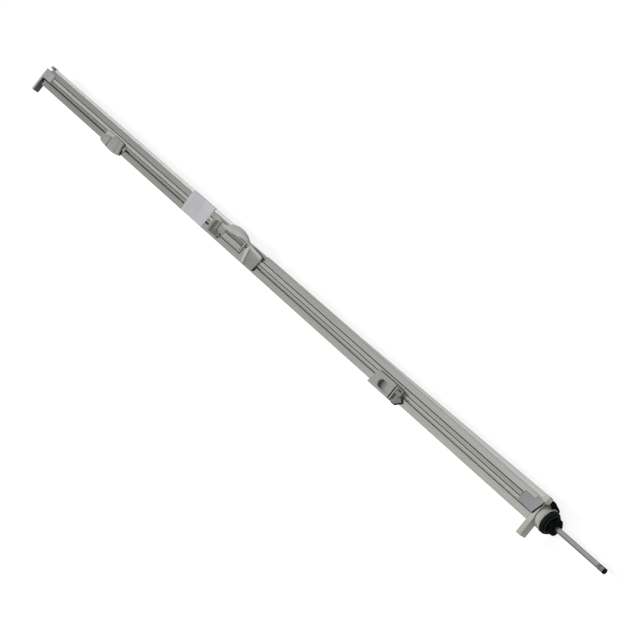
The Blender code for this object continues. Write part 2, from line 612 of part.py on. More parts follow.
def clip_1(axis, tab_axis):
    start, end = CLIP_1_X
    base_top = FACE_TOP + 2.6 * MM
    hinge_x = tab_axis.location.x
    base_outline = [(start + 5 * MM, -13 * MM), (end - 12 * MM, -13 * MM), (end - 15 * MM, 4 * MM),
                    (start + 9 * MM, 4 * MM)]
    base = slab("clip_1_base", base_outline, FACE_TOP, base_top, "clip_plastic")
    belly = arc((start + 68 * MM, 120.5 * MM), 156 * MM, -98, -79, 7)
    slit_x = hinge_x + 2.6 * MM
    belly = [point for point in belly if slit_x + 1 * MM < point[0] < end - 8 * MM]
    outline = [(slit_x, -35 * MM), *belly, (end - 4.5 * MM, -32.5 * MM), (end - 2.5 * MM, -29 * MM),
               (end - 12 * MM, 3.2 * MM), (slit_x + 12 * MM, 3.2 * MM), (slit_x, -2 * MM)]
    body_low = base_top + GAP
    body = slab("clip_1_body", outline, body_low, body_low + 5 * MM, "clip_plastic", 1.2 * MM)
    tab_end = hinge_x + 0.2 * MM
    tab_outline = [(start, -17 * MM), (start + 2 * MM, -27 * MM), (start + 12 * MM, -31.5 * MM),
                   (tab_end, -34.4 * MM), (tab_end, -6 * MM), (start + 24 * MM, -7 * MM),
                   (start + 8 * MM, -11 * MM)]
    tab = slab("clip_1_tab", tab_outline, body_low, body_low + 4 * MM, "clip_plastic", 1.0 * MM)
    foot = slot_foot("clip_1_foot", start + 20 * MM, end - 20 * MM)
    stop_top = FACE_TOP + 2.2 * MM
    stop = block("clip_1_stop", (end - 6.5 * MM, -15.5 * MM, FACE_TOP),
                 (end + 4.5 * MM, -4.5 * MM, stop_top), "clip_plastic", 0.6 * MM)
    bead_x, bead_y = end - 3.6 * MM, -11.5 * MM
    bead = rod_shape("clip_1_bead", (bead_x, bead_y, stop_top + GAP), (bead_x, bead_y, stop_top + 1.9 * MM),
                     1.7 * MM, "chrome")
    attach(axis, base, body, foot, stop, bead)
    attach(tab_axis, tab)


def finger_block(axis):
    start, end = BLOCK_X
    outline = [(start + 11 * MM, -23.2 * MM), (end - 9 * MM, -23.2 * MM), (end - 5.5 * MM, -20.5 * MM),
               (end, 14 * MM), (end - 3 * MM, 18 * MM), (start + 14 * MM, 21.5 * MM),
               (start + 8 * MM, 20.5 * MM), (start, 10 * MM), (start + 1 * MM, 4 * MM)]
    top = FACE_TOP + 9 * MM
    body = slab("finger_block", outline, FACE_TOP, top, "clip_plastic", 1.4 * MM)
    hollow = mm([(18, -17.5), (62, -17.5), (70, 14), (26, 16.5), (18, 8)])
    scoop = slab("finger_scoop_tool", hollow, top - 3.6 * MM, top + 5 * MM)
    cut(body, scoop)
    foot = slot_foot("finger_block_foot", start + 14 * MM, end - 12 * MM)
    attach(axis, body, foot)


def clip_3(axis, latch_axis):
    start, end = CLIP_3_X
    body_end = end - 5.2 * MM
    outline = [(start, -32 * MM), (body_end, -32 * MM), (body_end, 4 * MM), (start + 8.5 * MM, 4 * MM)]
    top = FACE_TOP + 9.5 * MM
    body = slab("clip_3_body", outline, FACE_TOP, top, "clip_plastic")
    bevel(body, 1.2 * MM)
    recess_radius = 9.6 * MM
    recess_y = -15.8 * MM
    recess = [*arc((start + 35.5 * MM, recess_y), recess_radius, 90, 270, 12),
              (end - 9 * MM, recess_y - recess_radius), (end - 9 * MM, recess_y + recess_radius)]
    scoop = slab("thumb_recess_tool", recess, top - 5.5 * MM, top + 5 * MM)
    cut(body, scoop)
    rib_start = end - 3.2 * MM
    rib = slab("clip_3_rib", [(rib_start, -32 * MM), (end, -32 * MM), (end, 4 * MM), (rib_start, 4 * MM)],
               FACE_TOP, top + 0.6 * MM, "clip_plastic", 0.6 * MM)
    end_block = block("clip_3_end_block", (end + GAP, -12.5 * MM, FACE_TOP),
                      (end + 18 * MM, 2.5 * MM, top - 1 * MM), "clip_plastic")
    cavity = block("latch_cavity_tool", (end + 3 * MM, -3.6 * MM, top - 5 * MM),
                   (end + 14 * MM, -0.8 * MM, top + 5 * MM))
    cut(end_block, cavity)
    foot = slot_foot("clip_3_foot", start + 14 * MM, end - 10 * MM)
    attach(axis, body, rib, end_block, foot)
    arrow = mm([(614.8, -31), (624.5, -31), (639, -18.4), (632.5, -13.2), (614.8, -13.2)])
    low = FACE_TOP + 1.6 * MM
    latch = slab("clip_3_latch", arrow, low, low + 6.6 * MM, "clip_plastic", 0.8 * MM)
    x, z = LATCH_AXIS.x, LATCH_AXIS.z
    pin_radius = 1.1 * MM
    hole = rod_shape("latch_hole_tool", (x, -40 * MM, z), (x, -5 * MM, z), pin_radius + GAP)
    cut(latch, hole)
    pin = rod_shape("latch_pin", (x, -30.6 * MM, z), (x, -12.8 * MM, z), pin_radius, "steel")
    attach(axis, pin)
    attach(latch_axis, latch)


def build():
    profile_housing()
    strips()
    label()
    far_end()
    near_head()
    flange()
    corner_pieces()
    cover_plate()
    cylinder()
    gland_base()
    axis_start = Vector((0, ROD_Y, ROD_Z))
    rod_and_piston(add_axis("rod_axis", axis_start))
    lock_knob(add_axis("knob_axis", axis_start))
    handle_housing()
    lever(add_axis("lever_axis", LEVER_AXIS))
    slide_start = Vector((0, SLOT_Y, FRONT))
    clip_1(add_axis("clip_1_axis", slide_start), add_axis("tab_axis", CLIP_1_TAB_AXIS))
    finger_block(add_axis("block_axis", slide_start))
    clip_3(add_axis("clip_3_axis", slide_start), add_axis("latch_axis", LATCH_AXIS))


for thing in list(bpy.data.objects):
    bpy.data.objects.remove(thing)
model = new_collection("pneumatic_cylinder")
cutters = new_collection("cutters")
build()
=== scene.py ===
"""Looks of the pneumatic cylinder unit: fine meshes, materials, floor, lights and camera.

Lengths in the shape functions are in millimetres, in the model's own frame: X along the profile towards
the rod, Z out of its front face, the legs towards -Y.
"""

import math

import bmesh
import bpy
from mathutils import Euler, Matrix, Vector


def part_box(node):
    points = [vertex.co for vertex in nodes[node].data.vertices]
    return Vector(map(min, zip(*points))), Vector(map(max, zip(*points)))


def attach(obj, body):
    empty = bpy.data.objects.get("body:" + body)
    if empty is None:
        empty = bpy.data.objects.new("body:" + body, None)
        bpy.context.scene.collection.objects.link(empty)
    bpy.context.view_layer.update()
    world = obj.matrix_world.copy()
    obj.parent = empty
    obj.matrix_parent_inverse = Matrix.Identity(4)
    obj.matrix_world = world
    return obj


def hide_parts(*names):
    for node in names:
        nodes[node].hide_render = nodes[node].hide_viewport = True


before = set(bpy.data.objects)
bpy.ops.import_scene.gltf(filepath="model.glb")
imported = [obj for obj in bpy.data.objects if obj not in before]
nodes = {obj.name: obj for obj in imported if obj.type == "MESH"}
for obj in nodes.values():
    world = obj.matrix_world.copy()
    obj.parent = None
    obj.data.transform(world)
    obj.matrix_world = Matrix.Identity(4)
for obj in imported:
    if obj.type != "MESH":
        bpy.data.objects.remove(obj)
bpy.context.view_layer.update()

MM = 0.001


def box_mm(node):
    """Lowest and highest corner of a CAD node, in millimetres."""
    low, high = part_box(node)
    return low / MM, high / MM


# ---- places taken from the frame -------------------------------------
PROFILE_LOW, PROFILE_HIGH = box_mm("profile_housing")
FRONT = PROFILE_HIGH.z  # the slotted face
HALF = PROFILE_HIGH.y  # half of its width
FACE_TOP = FRONT + 0.3  # underside of what sits on the face
ROD_LOW, ROD_HIGH = box_mm("piston_rod")
AXIS_Y = (ROD_LOW.y + ROD_HIGH.y) / 2  # the cylinder's axis
AXIS_Z = (ROD_LOW.z + ROD_HIGH.z) / 2
ROD_RADIUS = (ROD_HIGH.y - ROD_LOW.y) / 2


def linked(name, data):
    """A new object in the scene."""
    thing = bpy.data.objects.new(name, data)
    bpy.context.scene.collection.objects.link(thing)
    return thing


# ---- small geometry --------------------------------------------------
def arc(centre, radius, start, end, count):
    """Points on an arc, angles in degrees."""
    points = []
    for i in range(count + 1):
        angle = math.radians(start + (end - start) * i / count)
        points.append((centre[0] + radius * math.cos(angle), centre[1] + radius * math.sin(angle)))
    return points


def rectangle(x0, x1, y0, y1):
    return [(x0, y0), (x1, y0), (x1, y1), (x0, y1)]


def four_sides(low_left, low_right, high_left, high_right):
    """The low, high, left and right side of an outline with four corners."""
    return [low_left, low_right], [high_left, high_right], [low_left, high_left], [low_right, high_right]


def clamp(value, low=0.0, high=1.0):
    return max(low, min(high, value))


def ease(low, high, value):
    """0 below low, 1 above high, smooth between."""
    share = clamp((value - low) / (high - low))
    return share * share * (3 - 2 * share)


def filleted(outline, radius, steps=4):
    """The outline with its corners rounded."""
    made = []
    count = len(outline)
    for i, corner in enumerate(outline):
        here = Vector(corner)
        before = Vector(outline[i - 1]) - here
        after = Vector(outline[(i + 1) % count]) - here
        reach = min(radius, 0.45 * before.length, 0.45 * after.length)
        start = here + before.normalized() * reach
        end = here + after.normalized() * reach
        for k in range(steps + 1):
            t = k / steps
            made.append(tuple((1 - t) ** 2 * start + 2 * t * (1 - t) * here + t * t * end))
    return made


def smooth_line(points, steps=6):
    """A Catmull-Rom curve through the points."""
    made = []
    last = len(points) - 1
    for i in range(last):
        p0, p1, p2, p3 = (Vector(points[clamp(k, 0, last)]) for k in (i - 1, i, i + 1, i + 2))
        for k in range(steps):
            t = k / steps
            made.append(tuple(0.5 * (2 * p1 + (p2 - p0) * t + (2 * p0 - 5 * p1 + 4 * p2 - p3) * t ** 2
                                     + (3 * p1 - p0 - 3 * p2 + p3) * t ** 3)))
    made.append(tuple(points[-1]))
    return made


def along(line, share):
    """The point at a share of a line's length."""
    lengths = [(Vector(b) - Vector(a)).length for a, b in zip(line, line[1:])]
    left = share * sum(lengths)
    for (a, b), length in zip(zip(line, line[1:]), lengths):
        if left <= length and length > 0:
            return Vector(a).lerp(Vector(b), left / length)
        left -= length
    return Vector(line[-1])


# ---- pieces ----------------------------------------------------------
def add_piece(name, mesh, body, look, stands_for=(), sharp=35):
    """A mesh in metres becomes a shown piece that rides on a body."""
    mesh.shade_smooth()
    mesh.set_sharp_from_angle(angle=math.radians(sharp))
    mesh.materials.clear()
    mesh.materials.append(LOOKS[look])
    piece = linked(name, mesh)
    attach(piece, body)
    if stands_for:
        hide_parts(*stands_for)
    return piece


def mesh_from(bm, name):
    """Closes a bmesh in millimetres and turns it into a mesh in metres."""
    bmesh.ops.remove_doubles(bm, verts=bm.verts, dist=1e-3)
    bmesh.ops.recalc_face_normals(bm, faces=bm.faces)
    bmesh.ops.scale(bm, vec=(MM, MM, MM), verts=bm.verts)
    mesh = bpy.data.meshes.new(name)
    bm.to_mesh(mesh)
    bm.free()
    return mesh


def curve_mesh(name, curve):
    guide = linked(name, curve)
    graph = bpy.context.evaluated_depsgraph_get()
    mesh = bpy.data.meshes.new_from_object(guide.evaluated_get(graph))
    bpy.data.objects.remove(guide)
    return mesh


def as_drawn(a, b, c):
    return a, b, c


def along_x(a, b, c):
    return c, a, b


def along_y(a, b, c):
    return a, c, b


def skin(bm, rows):
    """Faces between each row of points and the next."""
    for row, following in zip(rows, rows[1:]):
        for k in range(len(row) - 1):
            bm.faces.new((row[k], following[k], following[k + 1], row[k + 1]))


def filled(name, loops, low, high, place):
    """Loops in a plane, filled and raised from low to high; place(a, b, c) gives x, y, z."""
    curve = bpy.data.curves.new(name, "CURVE")
    curve.dimensions = "2D"
    curve.fill_mode = "BOTH"
    curve.extrude = (high - low) / 2
    for loop in loops:
        spline = curve.splines.new("POLY")
        spline.points.add(len(loop) - 1)
        for point, (a, b) in zip(spline.points, loop):
            point.co = (a, b, 0.0, 1.0)
        spline.use_cyclic_u = True
    flat = curve_mesh(name, curve)
    bm = bmesh.new()
    bm.from_mesh(flat)
    bpy.data.meshes.remove(flat)
    middle = (low + high) / 2
    for vert in bm.verts:
        vert.co = place(vert.co.x, vert.co.y, vert.co.z + middle)
    return mesh_from(bm, name)


def slab(name, outline, low, high, body, look, rounding=0.4, corner=1.0, stands_for=()):
    """An outline of (x, y) raised from low to high, with rounded corners and rims."""
    mesh = filled(name, [filleted(outline, corner)], low, high, as_drawn)
    piece = add_piece(name, mesh, body, look, stands_for)
    return soften(piece, rounding)


def bar(name, loops, start, end, body, look, rounding=0.0, stands_for=()):
    """Loops of (y, z) drawn along X."""
    mesh = filled(name, loops, start, end, along_x)
    piece = add_piece(name, mesh, body, look, stands_for)
    return soften(piece, rounding) if rounding else piece


def side_slab(name, outline, low, high, body, look, rounding=0.4, corner=1.0, stands_for=()):
    """An outline of (x, z) drawn along Y."""
    mesh = filled(name, [filleted(outline, corner)], low, high, along_y)
    piece = add_piece(name, mesh, body, look, stands_for)
    return soften(piece, rounding)


def soften(piece, width, segments=3):
    """Rounded edges with clean shading."""
    if width:
        bevel = piece.modifiers.new("rounded_edges", "BEVEL")
        bevel.width = width * MM
        bevel.segments = segments
        bevel.limit_method = "ANGLE"
        bevel.angle_limit = math.radians(38)
        shade = piece.modifiers.new("even_shading", "WEIGHTED_NORMAL")
        shade.keep_sharp = True
    return piece


def keep(node, look, width=0.0):
    """A CAD node stays, with a better surface and, if asked, rounded edges."""
    piece = nodes[node]
    piece.data.materials.clear()
    piece.data.materials.append(LOOKS[look])
    if width:
        weld = piece.modifiers.new("weld", "WELD")
        weld.merge_threshold = 0.01 * MM
        soften(piece, width, 2)
    return piece


def turned(name, profile, body, look, stands_for=(), steps=96, lobes=0, lobe=0.0, aside=(0.0, 0.0)):
    """(x, radius) points turned about the cylinder's axis; lobes push the rim in and out.

    A third value in a point is the share of aside, a (y, z) offset, by which its ring's centre moves.
    """
    widest = max(point[1] for point in profile)
    bm = bmesh.new()
    rings = []
    for x, radius, *lean in profile:
        centre_y = AXIS_Y + aside[0] * sum(lean)
        centre_z = AXIS_Z + aside[1] * sum(lean)
        ring = []
        for i in range(steps):
            angle = 2 * math.pi * i / steps
            reach = radius + lobe * math.cos(lobes * angle) * (radius / widest) ** 3
            y = centre_y + reach * math.cos(angle)
            z = centre_z + reach * math.sin(angle)
            ring.append(bm.verts.new((x, y, z)))
        rings.append(ring + ring[:1])
    skin(bm, rings + rings[:1])
    return add_piece(name, mesh_from(bm, name), body, look, stands_for, 30)


def shares(length, rounding, cells):
    """Shares of a length, close together where the rim is rounded."""
    rim_steps = 5
    rim = [rounding * (1 - math.cos(math.radians(90 * k / rim_steps))) / length for k in range(rim_steps)]
    inner = [rounding / length + (1 - 2 * rounding / length) * k / cells for k in range(cells + 1)]
    return rim + inner + [1 - value for value in reversed(rim)]


def pillow(name, low, high, left, right, floor, height, body, look, cells, rounding, stands_for=()):
    """A closed shell over a four-sided outline, with height(x, y) on top and rounded rims.

    low and high run from left to right; left and right run from low to high.
    """
    wide = (along(low, 0.5) - along(low, 0.0)).length + (along(low, 1.0) - along(low, 0.5)).length
    tall = (along(high, 0.5) - along(low, 0.5)).length
    us = shares(wide, rounding, cells[0])
    vs = shares(tall, rounding, cells[1])
    corners = [along(low, 0), along(low, 1), along(high, 0), along(high, 1)]
    lows = [along(low, u) for u in us]
    highs = [along(high, u) for u in us]
    lefts = [along(left, v) for v in vs]
    rights = [along(right, v) for v in vs]
    bm = bmesh.new()
    grid = []
    for u, a, b in zip(us, lows, highs):
        row = []
        for v, c, d in zip(vs, lefts, rights):
            flat = ((1 - v) * a + v * b + (1 - u) * c + u * d - (1 - u) * (1 - v) * corners[0]
                    - u * (1 - v) * corners[1] - (1 - u) * v * corners[2] - u * v * corners[3])
            local_wide = max((d - c).length, 0.01)
            local_tall = max((b - a).length, 0.01)
            side = max(0.0, rounding - min(u, 1 - u) * local_wide)
            edge = max(0.0, rounding - min(v, 1 - v) * local_tall)
            inset = min(rounding, math.hypot(side, edge))
            drop = rounding - math.sqrt(max(0.0, rounding ** 2 - inset ** 2))
            row.append(bm.verts.new((flat.x, flat.y, height(flat.x, flat.y) - drop)))
        grid.append(row)
    skin(bm, grid)
    rim = [row[0] for row in grid] + grid[-1][1:]
    rim += [row[-1] for row in reversed(grid[:-1])] + grid[0][-2:0:-1]
    feet = [bm.verts.new((vert.co.x, vert.co.y, floor)) for vert in rim]
    for i, vert in enumerate(rim):
        k = (i + 1) % len(rim)
        bm.faces.new((vert, feet[i], feet[k], rim[k]))
    bm.faces.new(feet)
    return add_piece(name, mesh_from(bm, name), body, look, stands_for, 40)


def tube(name, points, radius, body, look):
    """A bead that follows the points."""
    curve = bpy.data.curves.new(name, "CURVE")
    curve.dimensions = "3D"
    curve.bevel_depth = radius * MM
    curve.bevel_resolution = 4
    curve.use_fill_caps = True
    spline = curve.splines.new("POLY")
    spline.points.add(len(points) - 1)
    for point, place in zip(spline.points, points):
        point.co = (*(value * MM for value in place), 1.0)
    mesh = curve_mesh(name, curve)
    bm = bmesh.new()
    bm.from_mesh(mesh)
    bmesh.ops.remove_doubles(bm, verts=bm.verts, dist=1e-6)
    bm.to_mesh(mesh)
    bm.free()
    return add_piece(name, mesh, body, look, (), 40)


def tool(name, outline, low, high):
    return linked(name, filled(name, [outline], low, high, as_drawn))


def cut(piece, *tools):
    """Cuts the tools out of a piece for good, and removes them."""
    for tool in tools:
        boolean = piece.modifiers.new("cut", "BOOLEAN")
        boolean.operation = "DIFFERENCE"
        boolean.object = tool
    graph = bpy.context.evaluated_depsgraph_get()
    made = bpy.data.meshes.new_from_object(piece.evaluated_get(graph))
    piece.modifiers.clear()
    piece.data = made
    made.shade_smooth()
    made.set_sharp_from_angle(angle=math.radians(35))
    for tool in tools:
        bpy.data.objects.remove(tool)


# ---- materials -------------------------------------------------------
class Nodes:
    """Adds nodes to a tree and joins them."""

    def __init__(self, tree):
        self.tree = tree

    def add(self, kind, *inputs, **settings):
        node = self.tree.nodes.new(kind)
        for name, value in settings.items():
            setattr(node, name, value)
        for socket, value in zip(node.inputs, inputs):
            self.give(socket, value)
        return node

    def give(self, socket, value):
        if isinstance(value, bpy.types.NodeSocket):
            self.tree.links.new(value, socket)
        elif isinstance(value, bpy.types.Node):
            self.tree.links.new(value.outputs[0], socket)
        elif value is not None:
            socket.default_value = value


class Recipe(Nodes):
    """A material in the making, in the piece's own coordinates in metres."""

    def __init__(self, name, roughness, metallic=0.0, specular=0.5):
        self.material = bpy.data.materials.new(name)
        self.material.use_nodes = True
        super().__init__(self.material.node_tree)
        self.shader = self.tree.nodes["Principled BSDF"]
        self.shader.inputs["Roughness"].default_value = roughness
        self.shader.inputs["Metallic"].default_value = metallic
        self.shader.inputs["Specular IOR Level"].default_value = specular
        self.place = self.add("ShaderNodeTexCoord").outputs["Object"]
        self.parts = self.add("ShaderNodeSeparateXYZ", self.place)

    def noise(self, scale, detail=3.0, stretch=(1.0, 1.0, 1.0)):
        """Noise from 0 to 1; stretch scales each direction."""
        mapping = self.add("ShaderNodeMapping", self.place)
        mapping.inputs["Scale"].default_value = stretch
        node = self.add("ShaderNodeTexNoise", mapping)
        node.inputs["Scale"].default_value = scale
        node.inputs["Detail"].default_value = detail
        return node.outputs[0]

    def spread(self, value, from_low, from_high, to_low, to_high):
        """Moves a value from one range to another, without going outside it."""
        return self.add("ShaderNodeMapRange", value, from_low, from_high, to_low, to_high).outputs[0]

    def calc(self, operation, a, b=None):
        return self.add("ShaderNodeMath", a, b, operation=operation).outputs[0]

    def blend(self, share, first, second, kind="MIX"):
        node = self.add("ShaderNodeMix", data_type="RGBA", blend_type=kind)
        self.give(node.inputs[0], share)
        self.give(node.inputs[6], (*first, 1.0) if isinstance(first, tuple) else first)
        self.give(node.inputs[7], (*second, 1.0) if isinstance(second, tuple) else second)
        return node.outputs[2]

    def patches(self, value, start, end, first, second, most=1.0):
        """From the first colour towards the second where the value rises from start to end."""
        return self.blend(self.spread(value, start, end, 0.0, most), first, second)

    def shaded(self, base, factor):
        """The base colour times a factor."""
        grey = self.add("ShaderNodeCombineColor", factor, factor, factor).outputs[0]
        return self.blend(1.0, base, grey, "MULTIPLY")

    def colour(self, value):
        self.give(self.shader.inputs["Base Color"], value)

    def rough(self, value):
        self.give(self.shader.inputs["Roughness"], value)

    def bump(self, height, distance, strength=1.0):
        node = self.tree.nodes.new("ShaderNodeBump")
        node.inputs["Distance"].default_value = distance
        node.inputs["Strength"].default_value = strength
        self.give(node.inputs["Height"], height)
        if self.shader.inputs["Normal"].links:
            self.give(node.inputs["Normal"], self.shader.inputs["Normal"].links[0].from_socket)
        self.give(self.shader.inputs["Normal"], node)


def scaled(colour, factor):
    return tuple(channel * factor for channel in colour)


def painted_lengthwise_light(recipe, base, far, near):
    """The base colour times a factor that changes along the unit: painted light and shade, lighter where the
    factor is higher.
    """
    return recipe.shaded(base, recipe.spread(recipe.parts.outputs[0], -1.05, 1.05, far, near))


def drawn_metal(name, colour, roughness, metallic, far=1.0, near=1.0, line_scale=900.0):
    """Drawn or brushed metal: fine lines along X, faint clouds, small scratches, and painted light and shade
    that change along X.
    """
    recipe = Recipe(name, roughness, metallic)
    lines = recipe.noise(line_scale, 4.0, (0.012, 1.0, 1.0))
    clouds = recipe.noise(14.0, 3.0, (0.5, 1.0, 1.0))
    specks = recipe.noise(600.0, 2.0)
    base = recipe.patches(lines, 0.35, 0.65, scaled(colour, 0.93), scaled(colour, 1.06))
    base = recipe.patches(clouds, 0.35, 0.7, base, scaled(colour, 0.86), 0.35)
    base = recipe.patches(specks, 0.66, 0.72, base, scaled(colour, 0.7), 0.3)
    # painted light and shade: the colour is scaled from the far factor to the near factor along X
    recipe.colour(painted_lengthwise_light(recipe, base, far, near))
    recipe.rough(recipe.spread(lines, 0.3, 0.7, roughness - 0.05, roughness + 0.07))
    recipe.bump(lines, 0.00003, 0.6)
    return recipe.material


def moulded(name, colour, roughness, grain=0.00004, far=1.0, near=1.0, grain_scale=1100.0, hollow=()):
    """Moulded plastic or paint: fine grain, faint flow clouds, paler worn edges, dust, and painted light and
    shade that change along X.

    hollow is a node, a depth in mm below its top, and the factor that painted shade brings the colour to
    there.
    """
    recipe = Recipe(name, roughness)
    fine = recipe.noise(grain_scale, 2.0)
    clouds = recipe.noise(45.0, 4.0)
    dust = recipe.noise(260.0, 5.0)
    edges = recipe.add("ShaderNodeNewGeometry").outputs["Pointiness"]
    base = recipe.patches(clouds, 0.35, 0.65, scaled(colour, 0.95), scaled(colour, 1.04))
    base = recipe.patches(dust, 0.58, 0.75, base, scaled(colour, 1.15), 0.25)
    base = recipe.patches(edges, 0.52, 0.6, base, scaled(colour, 1.3), 0.45)
    # painted light and shade: the colour is scaled from the far factor to the near factor along X
    base = painted_lengthwise_light(recipe, base, far, near)
    # painted shade: darker below the node's top, as shade falls in a hollow
    if hollow:
        node, depth, factor = hollow
        top = box_mm(node)[1].z * MM
        shade_free_top = top - 1.2 * MM
        z = recipe.parts.outputs[2]
        base = recipe.shaded(base, recipe.spread(z, top - depth * MM, shade_free_top, factor, 1.0))
    recipe.colour(base)
    recipe.rough(recipe.spread(clouds, 0.3, 0.7, roughness - 0.06, roughness + 0.08))
    recipe.bump(fine, grain, 0.7)
    return recipe.material


def paper_look():
    """Matt label stock: fibres, soft creases, and a faint beige band across it."""
    recipe = Recipe("paper", 0.75, 0.0, 0.3)
    fibres = recipe.noise(1500.0, 4.0, (1.0, 0.4, 1.0))
    creases = recipe.noise(28.0, 3.0, (1.6, 0.5, 1.0))
    base = recipe.patches(creases, 0.35, 0.65, (0.64, 0.64, 0.69), (0.72, 0.72, 0.76))
    band_x = box_mm("paper_label")[0].x * MM + 0.023
    wander = recipe.spread(creases, 0.3, 0.7, -0.004, 0.004)
    middle = recipe.calc("ADD", wander, -band_x)
    away = recipe.calc("ABSOLUTE", recipe.calc("ADD", recipe.parts.outputs[0], middle))
    band = recipe.spread(away, 0.006, 0.012, 0.75, 0.0)
    base = recipe.blend(band, base, (0.64, 0.64, 0.60))
    recipe.colour(base)
    recipe.bump(fibres, 0.00005, 0.4)
    recipe.bump(creases, 0.0012, 0.5)
    return recipe.material


def smooth_black(name, specular, roughness):
    """Black plastic with faint swirl marks."""
    recipe = Recipe(name, roughness, 0.0, specular)
    swirls = recipe.noise(220.0, 4.0, (1.0, 0.3, 1.0))
    fine = recipe.noise(1400.0, 2.0)
    recipe.colour(recipe.patches(swirls, 0.4, 0.7, (0.003, 0.004, 0.004), (0.008, 0.010, 0.010)))
    recipe.rough(recipe.spread(swirls, 0.3, 0.7, roughness - 0.04, roughness + 0.1))
    recipe.bump(fine, 0.00002, 0.4)
    return recipe.material


def matt_rubber():
    """Rubber with a pale bloom."""
    recipe = Recipe("rubber", 0.75, 0.0, 0.12)
    fine = recipe.noise(1800.0, 3.0)
    bloom = recipe.noise(60.0, 3.0)
    recipe.colour(recipe.patches(bloom, 0.4, 0.7, (0.008, 0.008, 0.008), (0.02, 0.02, 0.019)))
    recipe.rough(recipe.spread(bloom, 0.3, 0.7, 0.6, 0.85))
    recipe.bump(fine, 0.00006, 0.6)
    return recipe.material


def polished_chrome():
    """Hard chrome with hair-fine lengthwise marks."""
    recipe = Recipe("chrome", 0.35, 1.0)
    marks = recipe.noise(1400.0, 3.0, (0.02, 1.0, 1.0))
    rings = recipe.noise(900.0, 2.0, (1.0, 0.05, 0.05))
    recipe.colour(recipe.patches(marks, 0.4, 0.7, (0.8, 0.8, 0.81), (0.88, 0.88, 0.89)))
    recipe.rough(recipe.spread(rings, 0.35, 0.7, 0.3, 0.42))
    recipe.bump(marks, 0.00001, 0.3)
    return recipe.material


# colour, roughness, grain, painted light factor at the far end, painted light factor at the near end, grain
# scale, painted shade in a hollow
MOULDED = {
    # strip: painted light and shade along X, lighter at the far end and darker at the near end
    "strip": ((0.49, 0.49, 0.455), 0.45, 0.00003, 1.3, 0.68),
    "strip/dark": ((0.1, 0.1, 0.095), 0.6),
    # slot floor look: its darker colour and its far and near factors are painted shade and light in the slot
    "strip/liner": ((0.3, 0.3, 0.28), 0.5, 0.00004, 0.65, 1.4),
    "trim": ((0.9, 0.9, 0.9), 0.5, 0.00003),
    "clip": ((0.38, 0.39, 0.37), 0.5),
    "clip/mid": ((0.24, 0.247, 0.23), 0.5),
    "clip/dark": ((0.17, 0.175, 0.16), 0.55),
    "clip/light": ((0.56, 0.57, 0.54), 0.45),
    "clip/soft": ((0.46, 0.47, 0.445), 0.5),
    # dished look: a lighter base paints the highlight on the rim, painted shade darkens the bowl
    "clip/dished": ((0.62, 0.63, 0.59), 0.5, 0.00004, 1.0, 1.0, 1100.0, ("finger_block", 5.0, 0.52)),
    # scooped look: painted shade, darkest deep in clip 3's scoop
    "clip/scooped": ((0.39, 0.4, 0.38), 0.5, 0.00004, 1.0, 1.0, 1100.0, ("clip_3_body", 6.5, 0.34)),
    "bracket": ((0.57, 0.57, 0.6), 0.42, 0.00003),
    # bracket/shade: a dark colour for painted shade on the far leg
    "bracket/shade": ((0.1, 0.101, 0.1), 0.55),
    "casting": ((0.45, 0.45, 0.41), 0.45, 0.00006, 1.0, 1.0, 700.0),
    "casting/rim": ((0.56, 0.55, 0.52), 0.4, 0.00003),
    "cover": ((0.29, 0.29, 0.305), 0.6, 0.00005),
}
LOOKS = {look: moulded(look.replace("/", "_"), *values) for look, values in MOULDED.items()}
LOOKS.update({
    # profile: painted light, darker at the far end and lighter at the near end
    "profile": drawn_metal("profile", (0.46, 0.458, 0.43), 0.5, 0.12, 0.96, 1.14),
    "strip/fairing": drawn_metal("fairing", (0.69, 0.69, 0.685), 0.45, 0.1),
    "paper": paper_look(),
    "black_plastic": smooth_black("black_plastic", 0.3, 0.24),
    "black_plastic/matt": smooth_black("matt_black", 0.03, 0.35),
    "rubber": matt_rubber(),
    "chrome": polished_chrome(),
    "steel": drawn_metal("steel", (0.5, 0.5, 0.5), 0.3, 0.9, line_scale=1300.0),
    "bronze": drawn_metal("bronze", (0.5, 0.33, 0.14), 0.35, 1.0),
})


# ---- profile and what is fixed along it ------------------------------
SLOT = (-10.8, -5.6)  # the slot's mouth, across the face
SLOT_UNDERCUT = (-14.2, -2.6)
SLOT_LIP = 2.8  # thickness of the metal beside the mouth
SLOT_DEPTH = 8.5
RECESS = (-0.6, 11.3)  # the strip's bed, a little wider than the strip
RECESS_DEPTH = 2.0
BACK = HALF - 3.5  # half of the width at the back
EDGE_ROUND = 1.6
BACK_ROUND = 1.5
BACK_RELIEF = 0.8
GROOVES = (-22.6, -15.2, 22.6)  # die lines on the face
SIDE_GROOVES = (14, 38)  # heights of the grooves in the side walls
WALL = 2.5


def die_line(y):
    """A shallow groove in the front face."""
    return [(y - 0.45, FRONT), (y, FRONT - 0.35), (y + 0.45, FRONT)]


def side_groove(side, height, depth=0.9):
    """A shallow groove in a side wall, which leans in towards the back."""
    wall = BACK + (HALF - BACK) * height / FRONT
    inner = wall - depth
    points = [(wall, height - 1.6), (inner, height - 1.0), (inner, height + 1.0), (wall, height + 1.6)]
    return [(side * y, z) for y, z in (points[::-1] if side > 0 else points)]


